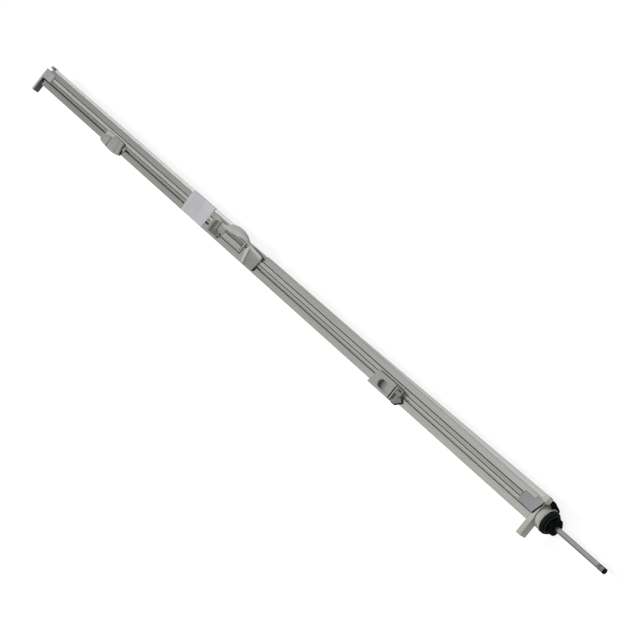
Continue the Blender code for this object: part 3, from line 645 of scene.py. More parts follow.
def profile_section():
    """The extrusion's outline in (y, z): T-slot, strip recess, and fine lines drawn by the die."""
    slot_low, slot_high = SLOT
    under_low, under_high = SLOT_UNDERCUT
    recess_low, recess_high = RECESS
    lip = FRONT - SLOT_LIP
    slot_floor = FRONT - SLOT_DEPTH
    recess_floor = FRONT - RECESS_DEPTH
    low_groove, high_groove = SIDE_GROOVES
    return [
        *arc((-HALF + EDGE_ROUND, FRONT - EDGE_ROUND), EDGE_ROUND, 180, 90, 5),
        *die_line(GROOVES[0]), *die_line(GROOVES[1]),
        (slot_low - 0.3, FRONT), (slot_low, FRONT - 0.3), (slot_low, lip), (under_low, lip),
        (under_low, slot_floor), (under_high, slot_floor), (under_high, lip), (slot_high, lip),
        (slot_high, FRONT - 0.3), (slot_high + 0.3, FRONT),
        (recess_low - 0.2, FRONT), (recess_low, FRONT - 0.2), (recess_low, recess_floor),
        (recess_high, recess_floor), (recess_high, FRONT - 0.2), (recess_high + 0.2, FRONT),
        *die_line(GROOVES[2]),
        *arc((HALF - EDGE_ROUND, FRONT - EDGE_ROUND), EDGE_ROUND, 90, 0, 5),
        *side_groove(1, high_groove), *side_groove(1, low_groove),
        *arc((BACK - BACK_ROUND, BACK_ROUND), BACK_ROUND, 0, -90, 4),
        (6, 0), (5, BACK_RELIEF), (-5, BACK_RELIEF), (-6, 0),
        *arc((-BACK + BACK_ROUND, BACK_ROUND), BACK_ROUND, -90, -180, 4),
        *side_groove(-1, low_groove), *side_groove(-1, high_groove),
    ]


def profile():
    """The extrusion with its hollow, a sheet on the slot's floor whose colour is painted shade and light,
    and a dark bed under the strip.
    """
    shoulder = HALF - 1.3 * WALL
    under_face = FRONT - 4.6
    under_slot = FRONT - 11
    hollow = [(-BACK + WALL, WALL), (BACK - WALL, WALL), (shoulder, under_face), (1.0, under_face),
              (1.0, under_slot), (-18.5, under_slot), (-18.5, under_face), (-shoulder, under_face)]
    inner = filleted(hollow, 1.0, 3)
    bar("profile_extrusion", [profile_section(), inner], PROFILE_LOW.x, PROFILE_HIGH.x, "housing", "profile",
        stands_for=["profile_housing"])
    floor_z = FRONT - SLOT_DEPTH
    # painted shade and light: a sheet on the slot's floor, darker at the far end, lighter at the near end
    shade_liner = rectangle(SLOT_UNDERCUT[0] + 0.2, SLOT_UNDERCUT[1] - 0.2, floor_z, floor_z + 0.4)
    bar("slot_floor_shade", [shade_liner], PROFILE_LOW.x + 1, PROFILE_HIGH.x - 1, "housing", "strip/liner")
    bed_z = FRONT - RECESS_DEPTH
    bed = rectangle(RECESS[0] + 0.05, RECESS[1] - 0.05, bed_z, bed_z + 0.3)
    strip_low, strip_high = box_mm("centre_strip")
    bar("strip_bed", [bed], strip_low.x, strip_high.x, "housing", "rubber")


def face_strip():
    """The strip in the face, a little crowned."""
    low, high = box_mm("centre_strip")
    left = low.y + 1.0
    crown = [(left + (high.y - left) * k / 8, high.z - 0.25 * (abs(k - 4) / 4) ** 3) for k in range(9)]
    loop = [(left, low.z), *crown, (high.y, low.z)]
    bar("face_strip", [loop], low.x, high.x, "housing", "strip", stands_for=["centre_strip"])


def trim():
    """The pale strip along the far half, with a bevelled lip."""
    low, high = box_mm("top_trim_strip")
    lip = high.z - 1.2
    loop = filleted([(low.y, low.z), (high.y, low.z), (high.y, high.z - 0.4), (high.y - 2.2, high.z),
                     (low.y + 2.2, high.z), (low.y + 1.6, lip), (low.y, lip)], 0.5, 3)
    bar("trim_strip", [loop], low.x, high.x, "housing", "trim", 0.3, ["top_trim_strip"])


def fairing():
    """The tapered member along the near half, with a sloping outer shoulder."""
    low, high = box_mm("edge_fairing")
    knee = 428.0
    start_y, knee_y = 27.4, 27.8

    def edge(x):
        if x < knee:
            return start_y + (knee_y - start_y) * (x - low.x) / (knee - low.x)
        return knee_y + (high.y - knee_y) * (x - knee) / (high.x - knee)

    stations = [low.x, *[knee + (high.x - knee) * k / 12 for k in range(13)]]
    bm = bmesh.new()
    rings = []
    for x in stations:
        outer = edge(x)
        shoulder = min(7.0, 0.75 * (outer - low.y))
        drop = 0.42 * shoulder
        section = [(low.y, low.z), (outer - 0.5, low.z), (outer, low.z + 0.5), (outer, high.z - drop - 0.5),
                   (outer - 0.3, high.z - drop), (outer - shoulder, high.z - 0.1),
                   (outer - shoulder - 0.25, high.z), (low.y, high.z)]
        rings.append([bm.verts.new((x, y, z)) for y, z in section])
    skin(bm, [ring + ring[:1] for ring in rings])
    bm.faces.new(rings[0])
    bm.faces.new(rings[-1][::-1])
    mesh = mesh_from(bm, "tapered_fairing")
    add_piece("tapered_fairing", mesh, "housing", "strip/fairing", ["edge_fairing"], 12)


def label():
    """A paper label wrapped over the face and the trim, with slightly slanted ends and soft ripples."""
    low, high = box_mm("paper_label")
    fold = 1.6
    side = high.y - 0.25
    start_y = -HALF + 0.7
    across = side - fold - start_y
    path = [*[(start_y + across * k / 40, FACE_TOP) for k in range(40)],
            *arc((side - fold, FACE_TOP - fold), fold, 90, 0, 6), (side, low.z + 4), (side, low.z)]
    columns = 60
    bm = bmesh.new()
    tops = []
    for i in range(columns + 1):
        share = i / columns
        column = []
        for y, z in path:
            lean = 5.0 * clamp((HALF * 0.2 - y) / 30) * (1 - share)
            start = low.x + 0.2 + lean
            x = start + (high.x - 0.2 - start) * share
            waves = math.sin(x / 7.0 + y / 9.0) + math.sin(x / 3.1 - y / 6.0)
            ripple = 0.12 * waves * math.sin(math.pi * share)
            rise = max(0.0, ripple) if z > FACE_TOP - fold else 0.0
            column.append(bm.verts.new((x, y, min(z + rise, high.z))))
        tops.append(column)
    skin(bm, tops)
    mesh = mesh_from(bm, "wrapped_label")
    piece = add_piece("wrapped_label", mesh, "housing", "paper", ["paper_label"], 60)
    shell = piece.modifiers.new("paper_thickness", "SOLIDIFY")
    shell.thickness = 0.18 * MM
    shell.offset = 0.0


# ---- far end ---------------------------------------------------------
def far_end():
    """The far bracket as a crowned plate, a leg and a web, with a dark sheet on the leg's inner face as
    painted shade.
    """
    low, high = box_mm("far_bracket")
    top = high.z
    inner = low.x + 10

    def plate_height(x, y):
        return top - 0.9 * ease(high.x - 6, high.x, x)

    plate = four_sides((low.x + 0.2, -7.3), (high.x, -7.3), (low.x + 1, 20.3), (high.x, 18.3))
    plate[1].insert(1, (high.x - 40, 19.4))
    pillow("far_plate", *plate, FACE_TOP, plate_height, "housing", "bracket", (30, 16), 0.8, ["far_bracket"])
    side_slab("far_leg", rectangle(low.x, inner - 1.0, low.z, top - 0.2), low.y, -7.6, "housing", "bracket",
              1.0)
    side_slab("far_web", rectangle(low.x + 1, inner - 1.0, low.z, FACE_TOP - 0.1), -7.4, 19.5, "housing",
              "bracket", 0.8)
    # painted shade: a dark sheet on the leg's inner face
    pad = [(-9.0, top - 0.9), (-9.0, low.z + 0.4), *arc((low.y + 6.5, low.z + 6.6), 6.2, -90, -180, 6),
           (low.y + 0.3, top - 0.9)]
    bar("far_leg_shade_sheet", [pad], inner - 0.95, inner, "housing", "bracket/shade", 0.25)
    keep("far_end_cap", "black_plastic", 0.6)
    keep("far_corner_block", "clip", 0.3)
    keep("far_corner_plug", "black_plastic/matt", 0.2)


# ---- near end --------------------------------------------------------
def near_end():
    """The near head with its cover, the corner beside the flange, the flange, the gland and the knob."""
    keep("near_head", "casting", 0.6)
    keep("head_pad", "casting", 0.4)
    keep("end_cover_plate", "cover", 0.25)
    # painted shade: a dark wedge in the gap between the cover plate and the head's pad
    gap_shade_outline = [(1037.9, -9.5), (1042.4, -9.5), (1047.4, 12.0), (1047.2, 22.0), (1046.9, 22.0)]
    slab("cover_gap_shade", gap_shade_outline, FACE_TOP, FACE_TOP + 0.5, "housing", "rubber", 0.1, 0.2)
    filler = [(1041.4, -9.4), (1046.0, -9.4), (1047.8, 9.0), (1046.4, 9.0)]
    slab("pad_edge", filler, FACE_TOP, FACE_TOP + 1.0, "housing", "casting", 0.1, 0.3)
    corner()
    flange()
    gland()
    knob()


def lip_circle():
    """The (y, z) centre and the radius of the flange's lip, which leaves room for the plug at one side."""
    low, high = box_mm("flange_ring")
    radius = (high.y - low.y) / 2 - 1.0
    return (low.y + radius, (low.z + high.z) / 2), radius


def corner():
    """Thin plates, dark layers and the black plug with a light line of painted highlight along its edge, all
    cut around the flange.
    """
    centre, room = lip_circle()
    room += 0.4
    low, high = box_mm("corner_clip")

    def loop(inner_y, inset):
        start = math.degrees(math.acos((inner_y - centre[0]) / room))
        return [(inner_y, high.z - inset), *arc(centre, room, start, -20, 10), (27.2 - inset, 18),
                (31.1 - inset, 31), (high.y - inset, 41), (high.y - inset, high.z - inset)]

    layers = [("corner_plate_far", low.x, low.x + 1.6, "casting", 0.0),
              ("corner_layer", low.x + 1.7, low.x + 3.0, "clip/dark", 1.2),
              ("corner_plate_near", low.x + 3.1, low.x + 5.0, "bracket", 0.0),
              ("corner_seat", low.x + 5.1, high.x, "clip/dark", 1.0)]
    for name, start, end, look, inset in layers:
        replaced = ["corner_clip"] if name == "corner_plate_far" else ()
        bar(name, [loop(22.0, inset)], start, end, "housing", look, 0.3, replaced)
    low, high = box_mm("corner_plug")
    crown = 3.0
    dome = [(25.0, high.z), *arc(centre, room, 31, -34, 12), (24.2, 9.5), (28.2, 20.5), (31.2, 33.0),
            (high.y - 0.6, 43.0), *arc((high.y - crown, high.z - crown), crown, 0, 90, 6)]
    bar("plug", [dome], low.x + 1.5, high.x, "housing", "black_plastic/matt", 1.2, ["corner_plug"])
    # painted highlight: a thin light slab along the plug's edge
    bar("plug_highlight_line", [dome], low.x, low.x + 1.4, "housing", "bracket", 0.2)


def flange():
    """A neck that falls away behind a thin light lip, which is a little off the rod's axis."""
    low, high = box_mm("flange_ring")
    centre, radius = lip_circle()
    aside = (centre[0] - AXIS_Y, centre[1] - AXIS_Z)
    lip = high.x - 2.0
    neck = radius - 1.3
    bore = 16.5
    section = [(lip - 0.1, bore), (lip - 0.1, neck - 1.4, 1.0), (lip - 1.0, neck - 1.4, 1.0),
               (lip - 1.4, neck, 1.0), (low.x + 3.0, neck, 1.0), (low.x + 0.4, neck - 0.2, 1.0),
               (low.x, neck - 0.7, 1.0), (low.x, bore)]
    turned("flange_neck", section, "housing", "casting", ["flange_ring"], 128, aside=aside)
    edge = 0.8
    rim = [(x, reach, 1.0) for x, reach in arc((high.x - edge, radius - edge), edge, 0, 90, 6)]
    section = [(high.x, bore), *rim, (lip + 0.5, radius, 1.0), (lip, radius - 0.5, 1.0), (lip, bore)]
    turned("flange_lip", section, "housing", "casting/rim", (), 128, aside=aside)


def gland():
    """A dished black cover with a soft six-lobed ring around the knob's seat."""
    low, high = box_mm("gland_base")
    radius = (high.y - low.y) / 2
    back = box_mm("flange_ring")[1].x + 0.3
    step = high.x - 4.5
    bore = 9.6
    section = [(step - 0.2, bore), (step - 0.2, 21.0), (step - 0.7, 23.4), (step - 1.8, radius - 0.7),
               (step - 3.4, radius), (back + 0.4, radius), (back, radius - 0.4), (back, 15.4), (low.x, 15.4),
               (low.x, bore)]
    turned("gland_cover", section, "housing", "black_plastic", ["gland_base"], 128)
    edge = arc((high.x - 2.0, 19.4), 2.0, 0, 90, 6)
    section = [(high.x, bore), *edge, (step + 0.8, 21.8), (step, 21.2), (step, bore)]
    turned("gland_ring", section, "housing", "black_plastic", (), 144, 6, 0.6)


def knob():
    """A knob with five soft lobes and a rubber lip in its mouth."""
    low, high = box_mm("lock_knob")
    lobe = 0.85
    radius = (high.y - low.y) / 2 - lobe
    edge = 3.0
    seat = high.x - 2.4
    section = [(seat, 6.4), (seat, 8.0), (high.x - 0.5, 8.2), (high.x, 8.8),
               *arc((high.x - edge, radius - edge), edge, 0, 90, 6), (low.x + 2.2, radius - 0.2),
               (low.x + 0.5, radius - 1.0), (low.x, radius - 2.2), (low.x, 9.5), (low.x + 6, 9.5),
               (low.x + 6, 6.4)]
    turned("knob", section, "knob", "black_plastic/matt", ["lock_knob"], 180, 5, lobe)
    low, high = box_mm("rod_wiper")
    inner = ROD_RADIUS + 0.35
    section = [(high.x, inner), (high.x - 0.1, inner + 0.5), (high.x - 0.9, 7.3), (low.x, 7.6),
               (low.x, inner)]
    turned("wiper_lip", section, "knob", "rubber", ["rod_wiper"], 64)


CORE = 0.01  # radius at which a solid turned piece closes


def rod_end():
    """The rod with a ring, an eight-sided nut and a rubber bumper on its tip."""
    collar_low, collar_high = box_mm("tip_collar")
    sleeve_low, sleeve_high = box_mm("tip_hex")
    cap_low, cap_high = box_mm("tip_cap")
    spigot = 3.5
    hole = 3.8
    tip = collar_low.x - 0.3
    step = ROD_LOW.x + 36.4
    section = [(ROD_HIGH.x, CORE), (ROD_HIGH.x, spigot), (tip, spigot), (tip, ROD_RADIUS - 0.5),
               (tip - 0.5, ROD_RADIUS), (step + 0.6, ROD_RADIUS), (step, 4.0), (ROD_LOW.x, 4.0),
               (ROD_LOW.x, CORE)]
    turned("polished_rod", section, "rod", "chrome", ["piston_rod"], 96)
    radius = (cap_high.y - cap_low.y) / 2
    rim = radius - 0.1
    section = [(collar_high.x, hole), (collar_high.x, radius - 0.5), (collar_high.x - 0.4, rim),
               (collar_low.x + 3.0, rim), (collar_low.x, ROD_RADIUS - 0.3), (collar_low.x, hole)]
    turned("tip_ring", section, "rod", "clip/dark", ["tip_collar"], 64)
    octagon = filleted(arc((AXIS_Y, AXIS_Z), radius, 0, 315, 7), 0.6, 2)
    bore = arc((AXIS_Y, AXIS_Z), hole, 0, 350, 35)
    bar("tip_nut", [octagon, bore], sleeve_low.x, sleeve_high.x, "rod", "steel", 0.45, ["tip_hex"])
    section = [(cap_high.x, CORE), (cap_high.x, radius - 1.6), (cap_high.x - 0.5, radius - 0.6),
               (cap_high.x - 1.4, rim), (cap_low.x + 0.5, rim), (cap_low.x, radius - 0.6), (cap_low.x, CORE)]
    turned("tip_bumper", section, "rod", "rubber", ["tip_cap"], 64)


# ---- lift lever ------------------------------------------------------
PIN_LOW, PIN_HIGH = box_mm("lever_pin")
PIN = ((PIN_LOW.x + PIN_HIGH.x) / 2, (PIN_LOW.z + PIN_HIGH.z) / 2)


def handle():
    """A low tray with a pocket behind the lever, the lever's seat, its ears, and an inlay beside it."""
    low, high = box_mm("handle_housing")
    top = FACE_TOP + 4.2
    step = low.y + 11.9
    outline = [(low.x, -21.5), (-101, -21.5), (-94, step), (high.x, step), (high.x, 17), (-126, 19),
               (-137, 16), (low.x, 8)]
    base = slab("handle_base", outline, FACE_TOP, top, "housing", "clip", 0.0, 2.5, ["handle_housing"])
    pocket = tool("pocket", filleted([(-135, -19), (-98, -18), (-97, -6.2), (-121.5, -6.2), (-121.5, 14.5),
                                      (-131, 14.5), (-135, 8)], 2.5), FACE_TOP - 1, top + 2)
    seat = tool("seat", [(-121, -4.8), (-121, 14.1), (-10, 14.1), (-10, 5.2), (-84, 5.2), (-84, -4.8)],
                FACE_TOP + 2.2, top + 2)
    cut(base, pocket, seat)
    soften(base, 0.55)
    for number, side in enumerate((-7.4, 14.3)):
        ear = [(PIN[0] - 5, FACE_TOP + 2), (PIN[0] + 5, FACE_TOP + 2), *arc(PIN, 4, 0, 180, 10)]
        mesh = filled("ear", [ear], side, side + 2.5, along_y)
        soften(add_piece("hinge_ear_%d" % number, mesh, "housing", "clip"), 0.4)
    # painted shade: a dark floor in the pocket stands for the shade in a deep recess
    shade_liner = [(-136, -19.5), (-96.5, -19.5), (-96.5, -4.9), (-121, -4.9), (-121, 15), (-136, 15)]
    slab("pocket_shade_floor", shade_liner, FACE_TOP, FACE_TOP + 2.4, "housing", "clip/dark", 0.15)
    # partly painted highlight: the bead along the bezel's ridge is real, its lighter colour paints the
    # ridge's highlight
    bezel = [(-141.6, -20), (-141.6, 6), (-138.5, 14.4), (-130, 17.7), (-118, 18.6), (-108, 18.3),
             (-96, 17.0)]
    tube("handle_rim", smooth_line([(x, y, top) for x, y in bezel], 8), 1.9, "housing", "clip/light")
    # painted shade: a dark strip along the housing's lower edge, in the slot's mouth
    lower_shade_sides = rectangle(-93, 2.0, -11.9, -9.7)
    slab("lower_edge_shade", lower_shade_sides, FRONT - 1.5, FACE_TOP + 0.5, "housing", "rubber", 0.1, 0.1)
    edge = high.x + 1.5
    filler = [(edge, -12.0), (15.4, -12.0), (12.4, -3.0), (8.9, 8.0), (edge, 8.0)]
    slab("handle_filler", filler, FACE_TOP, FACE_TOP + 1.8, "housing", "clip", 0.3, 0.5)
    # painted shade: a dark slab in the seam between the handle and the finger block
    seam_shade_sides = (high.x + 0.1, edge - 0.1, -11.5, 8.0)
    details = [
        ("handle_seam_shade", seam_shade_sides, FACE_TOP, FACE_TOP + 1.6, "strip/dark", 0.1, 0.1),
        ("handle_inlay", (-83.6, -11.2, -4.6, 4.7), top, top + 0.5, "clip/soft", 0.2, 0.6),
        # painted shade: thin dark lines where the inlay's end and the seat's wall cast shade
        ("inlay_end_shade_line", (-10.8, -9.8, -4.2, 5.0), top, top + 0.1, "rubber", 0.03, 0.1),
        ("inlay_side_shade_line", (-83.8, -10.6, 5.4, 6.6), FACE_TOP + 2.25, FACE_TOP + 2.6, "rubber", 0.05, 0.1),
        # painted shade: a dark spot where a small hole would be in shade
        ("hole_shade_spot", (-96.5, -88.5, -9.4, -5.9), top - 0.2, top + 0.1, "rubber", 0.05, 1.0),
    ]
    for name, sides, bottom, rise, look, rounding, corner_round in details:
        slab(name, rectangle(*sides), bottom, rise, "housing", look, rounding, corner_round)
    keep("lever_pin", "steel", 0.2)


def lever():
    """A pad and a rail that lie in the handle, and a round leaf that fingers lift."""
    arm_low = FACE_TOP + 2.6
    arm_top = FACE_TOP + 7.4
    leaf_low = box_mm("lift_lever")[1].z - 7

    def pad_height(x, y):
        return arm_top - 1.4 + 0.5 * ease(-108, -111, x)

    pad = four_sides((-112, -3.6), (-84.4, -3.6), (-112, 13.4), (-84.4, 13.4))
    pillow("lever_pad", *pad, arm_low, pad_height, "lever", "clip", (30, 20), 0.9, ["lift_lever"])
    slab("lever_rail", rectangle(-85, -14.2, 6.8, 13.4), arm_low, arm_low + 1.6, "lever", "clip/mid", 0.4)

    centre_x, centre_y, radius = -42.2, -50.5, 89.3
    root_x, root_crest, bow_x = -107, 17.6, -84
    edge = arc((centre_x, centre_y), radius, 114, 60, 18)
    high_line = smooth_line([(-106.8, root_crest), (-96, 20.8), (-87, 25.3), *edge[::2], (3.2, 26.0)], 5)
    low_line = smooth_line([(-106.8, 12.9), (-84, 12.4), (-62, 13.3), (-44, 16), (-26, 19.4), (-10, 22.2),
                            (3.2, 25.6)], 8)

    def crest_y(x):
        if x > bow_x:
            return max(root_crest, centre_y + math.sqrt(radius ** 2 - (x - centre_x) ** 2))
        return root_crest + 0.35 * (x - root_x)

    def leaf_height(x, y):
        bottom = 12.4 + 13 * ease(-70, 8, x)
        share = clamp((y - bottom) / max(crest_y(x) - bottom, 1.0))
        rise = 4.4 * math.sin(math.pi * clamp(0.1 + 0.8 * share))
        fall = 3.4 * ease(0.45, 1.0, share)
        taper = 2.4 * ease(-72, -104, x) + 1.8 * ease(-22, 4, x)
        return leaf_low + 2.4 + rise - fall - taper * (1.0 - 0.5 * share)

    pillow("lever_leaf", low_line, high_line, [low_line[0], high_line[0]], [low_line[-1], high_line[-1]],
           leaf_low, leaf_height, "lever", "clip/light", (90, 30), 0.9)
    hub = [arc(PIN, 3.8, 0, 348, 30), arc(PIN, 1.8, 0, 345, 23)]
    mesh = filled("lever_hub", hub, -4.0, 13.4, along_y)
    soften(add_piece("lever_hub", mesh, "lever", "clip"), 0.5)


# ---- sliding clips ---------------------------------------------------
def clip_1():
    """A ridged shell on a light base, with a hinged flap at its far end."""
    low, high = box_mm("clip_1_body")
    tab_low, tab_high = box_mm("clip_1_tab")
    hinge = -637.5
    slit = hinge + 3.4
    left = [(slit, -35.0), (slit, -2.0)]
    belly_line = [point for point in arc((-609, 120.5), 156, -97, -80, 14) if slit + 1 < point[0] < -580]
    bottom = [(slit, -35.0), *belly_line, (-574.5, -32.0)]
    top = smooth_line([(slit, -2.0), (slit + 5, 1.8), (slit + 12, 3.2), (-582, 3.2)], 6)
    right = [(-574.5, -32.0), (-573, -29.0), (-582, 3.2)]

    def body_height(x, y):
        crown = 1.2 * math.sin(math.pi * clamp((x - slit) / (-577 - slit)))
        belly = 1.5 * ease(-22, -35, y)
        trough = 0.9 * math.exp(-((x + 590 + 0.25 * (y + 15)) / 6.0) ** 2) * ease(4, -12, y)
        ridge = 1.3 * math.exp(-((x + 600 + 0.3 * (y + 15)) / 2.6) ** 2) * ease(0, -8, y)
        step = 1.1 * ease(-6, -3, y)
        return min(high.z, high.z - 1.3 + crown - belly - trough + ridge - step)

    pillow("clip_1_shell", bottom, top, left, right, low.z, body_height, "clip_1", "clip/soft", (60, 40),
           1.1, ["clip_1_body"])

    tab_x = tab_low.x
    tab_left = smooth_line([(tab_x + 4, -29.5), (tab_x, -21), (tab_x + 2.5, -14), (tab_x + 9, -10)], 5)
    tab_bottom = smooth_line([(tab_x + 4, -29.5), (tab_x + 14, -32.4), (hinge + 0.2, -34.4)], 6)
    tab_top = smooth_line([(tab_x + 9, -10), (tab_x + 24, -6.8), (hinge + 0.2, -6)], 6)
    tab_right = [(hinge + 0.2, -34.4), (hinge + 0.2, -6)]

    def tab_height(x, y):
        share = clamp((x - tab_low.x) / (hinge - tab_low.x))
        lip = 0.9 * math.exp(-((y + 12.5 + 3 * (1 - share)) / 2.4) ** 2)
        dish = 1.0 * ease(-13, -20, y) * math.sin(math.pi * clamp(share + 0.1))
        return tab_high.z - 1.0 + lip - dish - 0.9 * (1 - share) - 1.2 * ease(-26, -35, y)

    pillow("clip_1_flap", tab_bottom, tab_top, tab_left, tab_right, tab_low.z, tab_height, "clip_1_flap",
           "clip/soft", (40, 34), 0.9, ["clip_1_tab"])
    # painted shade: a dark strip along the shell's slanted near end
    body_end_shade = [(-573.2, -30.0), (-571.0, -29.0), (-575.6, -9.5), (-577.8, -9.8)]
    slab("clip_1_end_shade", body_end_shade, FACE_TOP, FACE_TOP + 2.4, "clip_1", "rubber", 0.2, 0.4)
    # painted shade: a dark floor in the slit between shell and flap
    slab("clip_1_slit_shade", rectangle(hinge + 0.5, slit - 0.2, -33.6, -9.0), low.z, low.z + 0.6, "clip_1",
         "rubber", 0.1, 0.2)
    keep("clip_1_base", "clip/light", 0.8)
    keep("clip_1_stop", "clip")
    keep("clip_1_bead", "chrome", 0.3)
    keep("clip_1_foot", "steel")


def finger_block():
    """A block with a bowl for a thumb and two dark strips of painted shade at its near edge."""
    low, high = box_mm("finger_block")
    bottom = [(20, -23.2), (58, -23.2), (61.5, -20.5)]
    right = smooth_line([(61.5, -20.5), (64.2, -3), (67, 14)], 4)
    top = smooth_line([(9.4, 10.5), (17, 20.3), (23, 21.5), (44, 20.2), (64, 18), (67, 14)], 5)
    left = [(20, -23.2), (15.6, -10), (10, 4), (9.4, 10.5)]

    def height(x, y):
        from_left = x - (22.5 - 0.28 * (y + 4))
        from_top = 16.6 - 0.07 * (x - 20) - y
        inside = min(from_left, from_top)
        bowl = 3.4 * ease(-0.6, 3.4, inside) + 1.6 * ease(0.0, 14.0, inside)
        return high.z - 0.35 - bowl - 1.6 * ease(-16, -24, y)

    # painted highlight and shade: the look is light on the rim and darker down in the bowl
    pillow("finger_grip", bottom, top, left, right, low.z, height, "block", "clip/dished", (70, 56), 1.3,
           ["finger_block"])
    # painted shade: dark strips at the block's near edge
    grip_shade_outlines = ([(62.2, -21.5), (65.0, -21.0), (66.4, -11.0), (64.2, -11.0)],
            [(67.2, 9.0), (69.0, 9.0), (69.4, 15.6), (66.8, 19.2), (65.4, 18.6), (67.6, 14.4)])
    for number, pad in enumerate(grip_shade_outlines):
        slab("grip_shade_strip_%d" % number, pad, FACE_TOP, FACE_TOP + 2.0, "block", "rubber", 0.2, 0.4)
    keep("finger_block_foot", "steel")


def clip_3():
    """A shell with a scoop that runs out to one side, an end block, and a faceted latch; painted shade
    darkens the scoop, the slit, the block's slot and the latch's outline.
    """
    low, high = box_mm("clip_3_body")
    right_x = high.x - 2.0
    shell = four_sides((low.x, -32), (right_x, -32), (low.x + 8.5, 4), (right_x, 4))
    centre_x, centre_y, radius = low.x + 35.5, -15.8, 9.6

    def height(x, y):
        if x < centre_x:
            inside = radius - math.hypot(x - centre_x, y - centre_y)
        else:
            inside = min(radius - abs(y - centre_y), right_x - 2.8 - x)
        along_share = clamp((x - centre_x + radius) / 30.0)
        bowl = 7.6 * (1 - 0.84 * along_share) * ease(-0.3, 1.8, inside)
        lip = 0.6 * math.exp(-((inside + 1.0) / 0.9) ** 2)
        panel = 0.6 * ease(-2.6, -1.9, y)
        return high.z - 0.6 - bowl + lip - panel - 1.0 * ease(-27, -32, y)

    # painted shade: the scoop's colour darkens with depth
    pillow("clip_3_shell", *shell, low.z, height, "clip_3", "clip/scooped", (110, 56), 1.2, ["clip_3_body"])
    keep("clip_3_rib", "clip")
    keep("clip_3_foot", "steel")
    keep("latch_pin", "steel", 0.15)

    block_low, block_high = box_mm("clip_3_end_block")
    keep("clip_3_end_block", "clip/mid", 0.6)
    rib_x = box_mm("clip_3_rib")[0].x
    # painted shade: a dark slab in the slit between the shell and the rib
    slab("clip_3_slit_shade", rectangle(right_x + 0.3, rib_x - 0.2, -31, 3), FACE_TOP, high.z - 1.2, "clip_3",
         "rubber", 0.1, 0.2)
    # painted shade: a dark patch for the end block's slot
    slab("end_block_slot_shade", rectangle(block_low.x + 3.2, block_low.x + 13.8, -3.4, -1.0), block_high.z - 3.9,
         block_high.z - 3.3, "clip_3", "rubber", 0.1, 0.2)

    latch_low, latch_high = box_mm("clip_3_latch")
    tip = latch_high.x
    foot = 2.2

    def latch_height(x, y):
        from_left = (x - latch_low.x) / 14.0
        from_tip = (tip - x) / 17.0
        from_sides = min((y - latch_low.y) / 9.0 + 0.2, (latch_high.y - y) / 9.0 + 0.3)
        facet = min(1.0, from_left + 0.25, from_tip, from_sides)
        return latch_low.z + foot + (latch_high.z - latch_low.z - foot) * clamp(facet)

    arrow = four_sides((latch_low.x, -31), (624.5, -31), (latch_low.x, -13.2), (632.5, -13.2))
    arrow[3].insert(1, (tip, -18.4))
    pillow("latch_arrow", *arrow, latch_low.z, latch_height, "latch", "clip/mid", (34, 30), 0.8,
           ["clip_3_latch"])
    # painted shade: a dark outline under and beside the latch
    gap_shade_outline = [(612.4, -33.2), (625.8, -33.2), (641.6, -18.6), (633.6, -11.2), (631.0, -9.4), (631.0, -12.9),
              (612.4, -12.9)]
    slab("latch_shade_outline", gap_shade_outline, FACE_TOP, FACE_TOP + 0.5, "clip_3", "rubber", 0.2, 0.5)


# ---- inside the profile ----------------------------------------------
def inside():
    """What the profile hides keeps its CAD shape."""
    finishes = {
        "cylinder_barrel": "steel", "barrel_rear_cap": "profile", "barrel_saddle_front": "black_plastic",
        "barrel_saddle_rear": "black_plastic", "charge_valve": "bronze", "front_gland": "profile",
        "gland_o_ring": "rubber", "rod_bush": "bronze", "rod_seal": "rubber", "rod_collet": "bronze",
        "piston": "profile", "piston_seal": "rubber", "piston_nut": "steel",
    }
    for node, look in finishes.items():
        keep(node, look)


# ---- studio ----------------------------------------------------------
SKY_LEAN = 0.5  # how much the -Y side darkens the sky
SKY_HEIGHTS = (-0.2, 0.4)
SKY_REFLECTED = (0.16, 0.38)
SKY_FILL = 0.03
FLOOR_HALF = 20.0  # metres
FLOOR_Z = -0.0006
KEY_FROM = (-0.7, -0.2, 0.7)
KEY_STRENGTH = 2.1
KEY_WIDTH = 16  # degrees
OVERHEAD_PLACE = (1.3, -0.3, 2.3)
OVERHEAD_TARGET = (0.8, 0.0, 0.0)
OVERHEAD_SIZE = (1.6, 1.4)
OVERHEAD_POWER = 24
CAMERA_PLACE = (2.4526, 0.2040, 2.5729)
CAMERA_ANGLES = (25.619, 32.339, 47.398)
LENS = 83.25
SENSOR_WIDTH = 36.0


def floor():
    """A pale sweep that stays near white."""
    bm = bmesh.new()
    bmesh.ops.create_grid(bm, x_segments=40, y_segments=40, size=FLOOR_HALF)
    mesh = bpy.data.meshes.new("studio_floor")
    bm.to_mesh(mesh)
    bm.free()
    recipe = Recipe("studio_floor", 0.8, 0.0, 0.1)
    mottle = recipe.noise(3.0, 3.0)
    recipe.colour(recipe.blend(mottle, (0.28, 0.28, 0.28), (0.3, 0.3, 0.3)))
    recipe.shader.inputs["Emission Color"].default_value = (1.0, 1.0, 1.0, 1.0)
    recipe.shader.inputs["Emission Strength"].default_value = 0.85
    mesh.materials.append(recipe.material)
    thing = linked("studio_floor", mesh)
    thing.location = (0, 0, FLOOR_Z)
    thing.visible_glossy = False


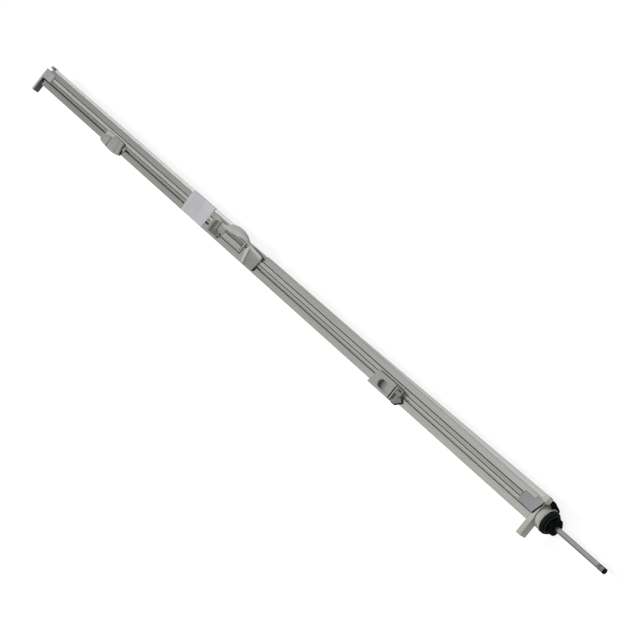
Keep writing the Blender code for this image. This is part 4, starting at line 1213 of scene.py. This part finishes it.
def overhead_light():
    light = bpy.data.lights.new("overhead", "AREA")
    light.shape = "RECTANGLE"
    light.size, light.size_y = OVERHEAD_SIZE
    light.energy = OVERHEAD_POWER
    lamp = linked("overhead", light)
    lamp.location = OVERHEAD_PLACE
    aim = Vector(OVERHEAD_TARGET) - Vector(OVERHEAD_PLACE)
    lamp.rotation_euler = aim.to_track_quat("-Z", "Y").to_euler()
    lamp.visible_glossy = False


def key_light():
    """A soft-edged parallel light."""
    light = bpy.data.lights.new("key", "SUN")
    light.energy = KEY_STRENGTH
    light.angle = math.radians(KEY_WIDTH)
    lamp = linked("key", light)
    lamp.rotation_euler = Vector(KEY_FROM).to_track_quat("Z", "Y").to_euler()
    lamp.visible_glossy = False


def sky():
    """White behind everything, a faint fill, and a sky for reflections that is darker low at the -Y side."""
    world = bpy.data.worlds.new("studio")
    bpy.context.scene.world = world
    world.use_nodes = True
    tree = Nodes(world.node_tree)
    ray = tree.add("ShaderNodeTexCoord").outputs["Generated"]
    parts = tree.add("ShaderNodeSeparateXYZ", ray).outputs
    height = tree.add("ShaderNodeMath", parts[1], SKY_LEAN, parts[2], operation="MULTIPLY_ADD")
    mirrored = tree.add("ShaderNodeMapRange", height, *SKY_HEIGHTS, *SKY_REFLECTED)
    path = tree.add("ShaderNodeLightPath").outputs
    lit = tree.add("ShaderNodeMix", path["Is Glossy Ray"], None, SKY_FILL, mirrored)
    strength = tree.add("ShaderNodeMix", path["Is Camera Ray"], None, lit, 1.0)
    background = world.node_tree.nodes["Background"]
    tree.give(background.inputs["Color"], (1.0, 1.0, 1.0, 1.0))
    tree.give(background.inputs["Strength"], strength)


def camera():
    data = bpy.data.cameras.new("camera")
    data.lens = LENS
    data.sensor_width = SENSOR_WIDTH
    data.clip_end = 60.0
    thing = linked("camera", data)
    thing.location = CAMERA_PLACE
    thing.rotation_euler = Euler([math.radians(angle) for angle in CAMERA_ANGLES])
    bpy.context.scene.camera = thing
    bpy.context.scene.view_settings.view_transform = "Standard"


camera()
floor()
sky()
key_light()
overhead_light()
for build in (profile, face_strip, trim, fairing, label, far_end, near_end, rod_end, handle, lever, clip_1,
              finger_block, clip_3, inside):
    build()
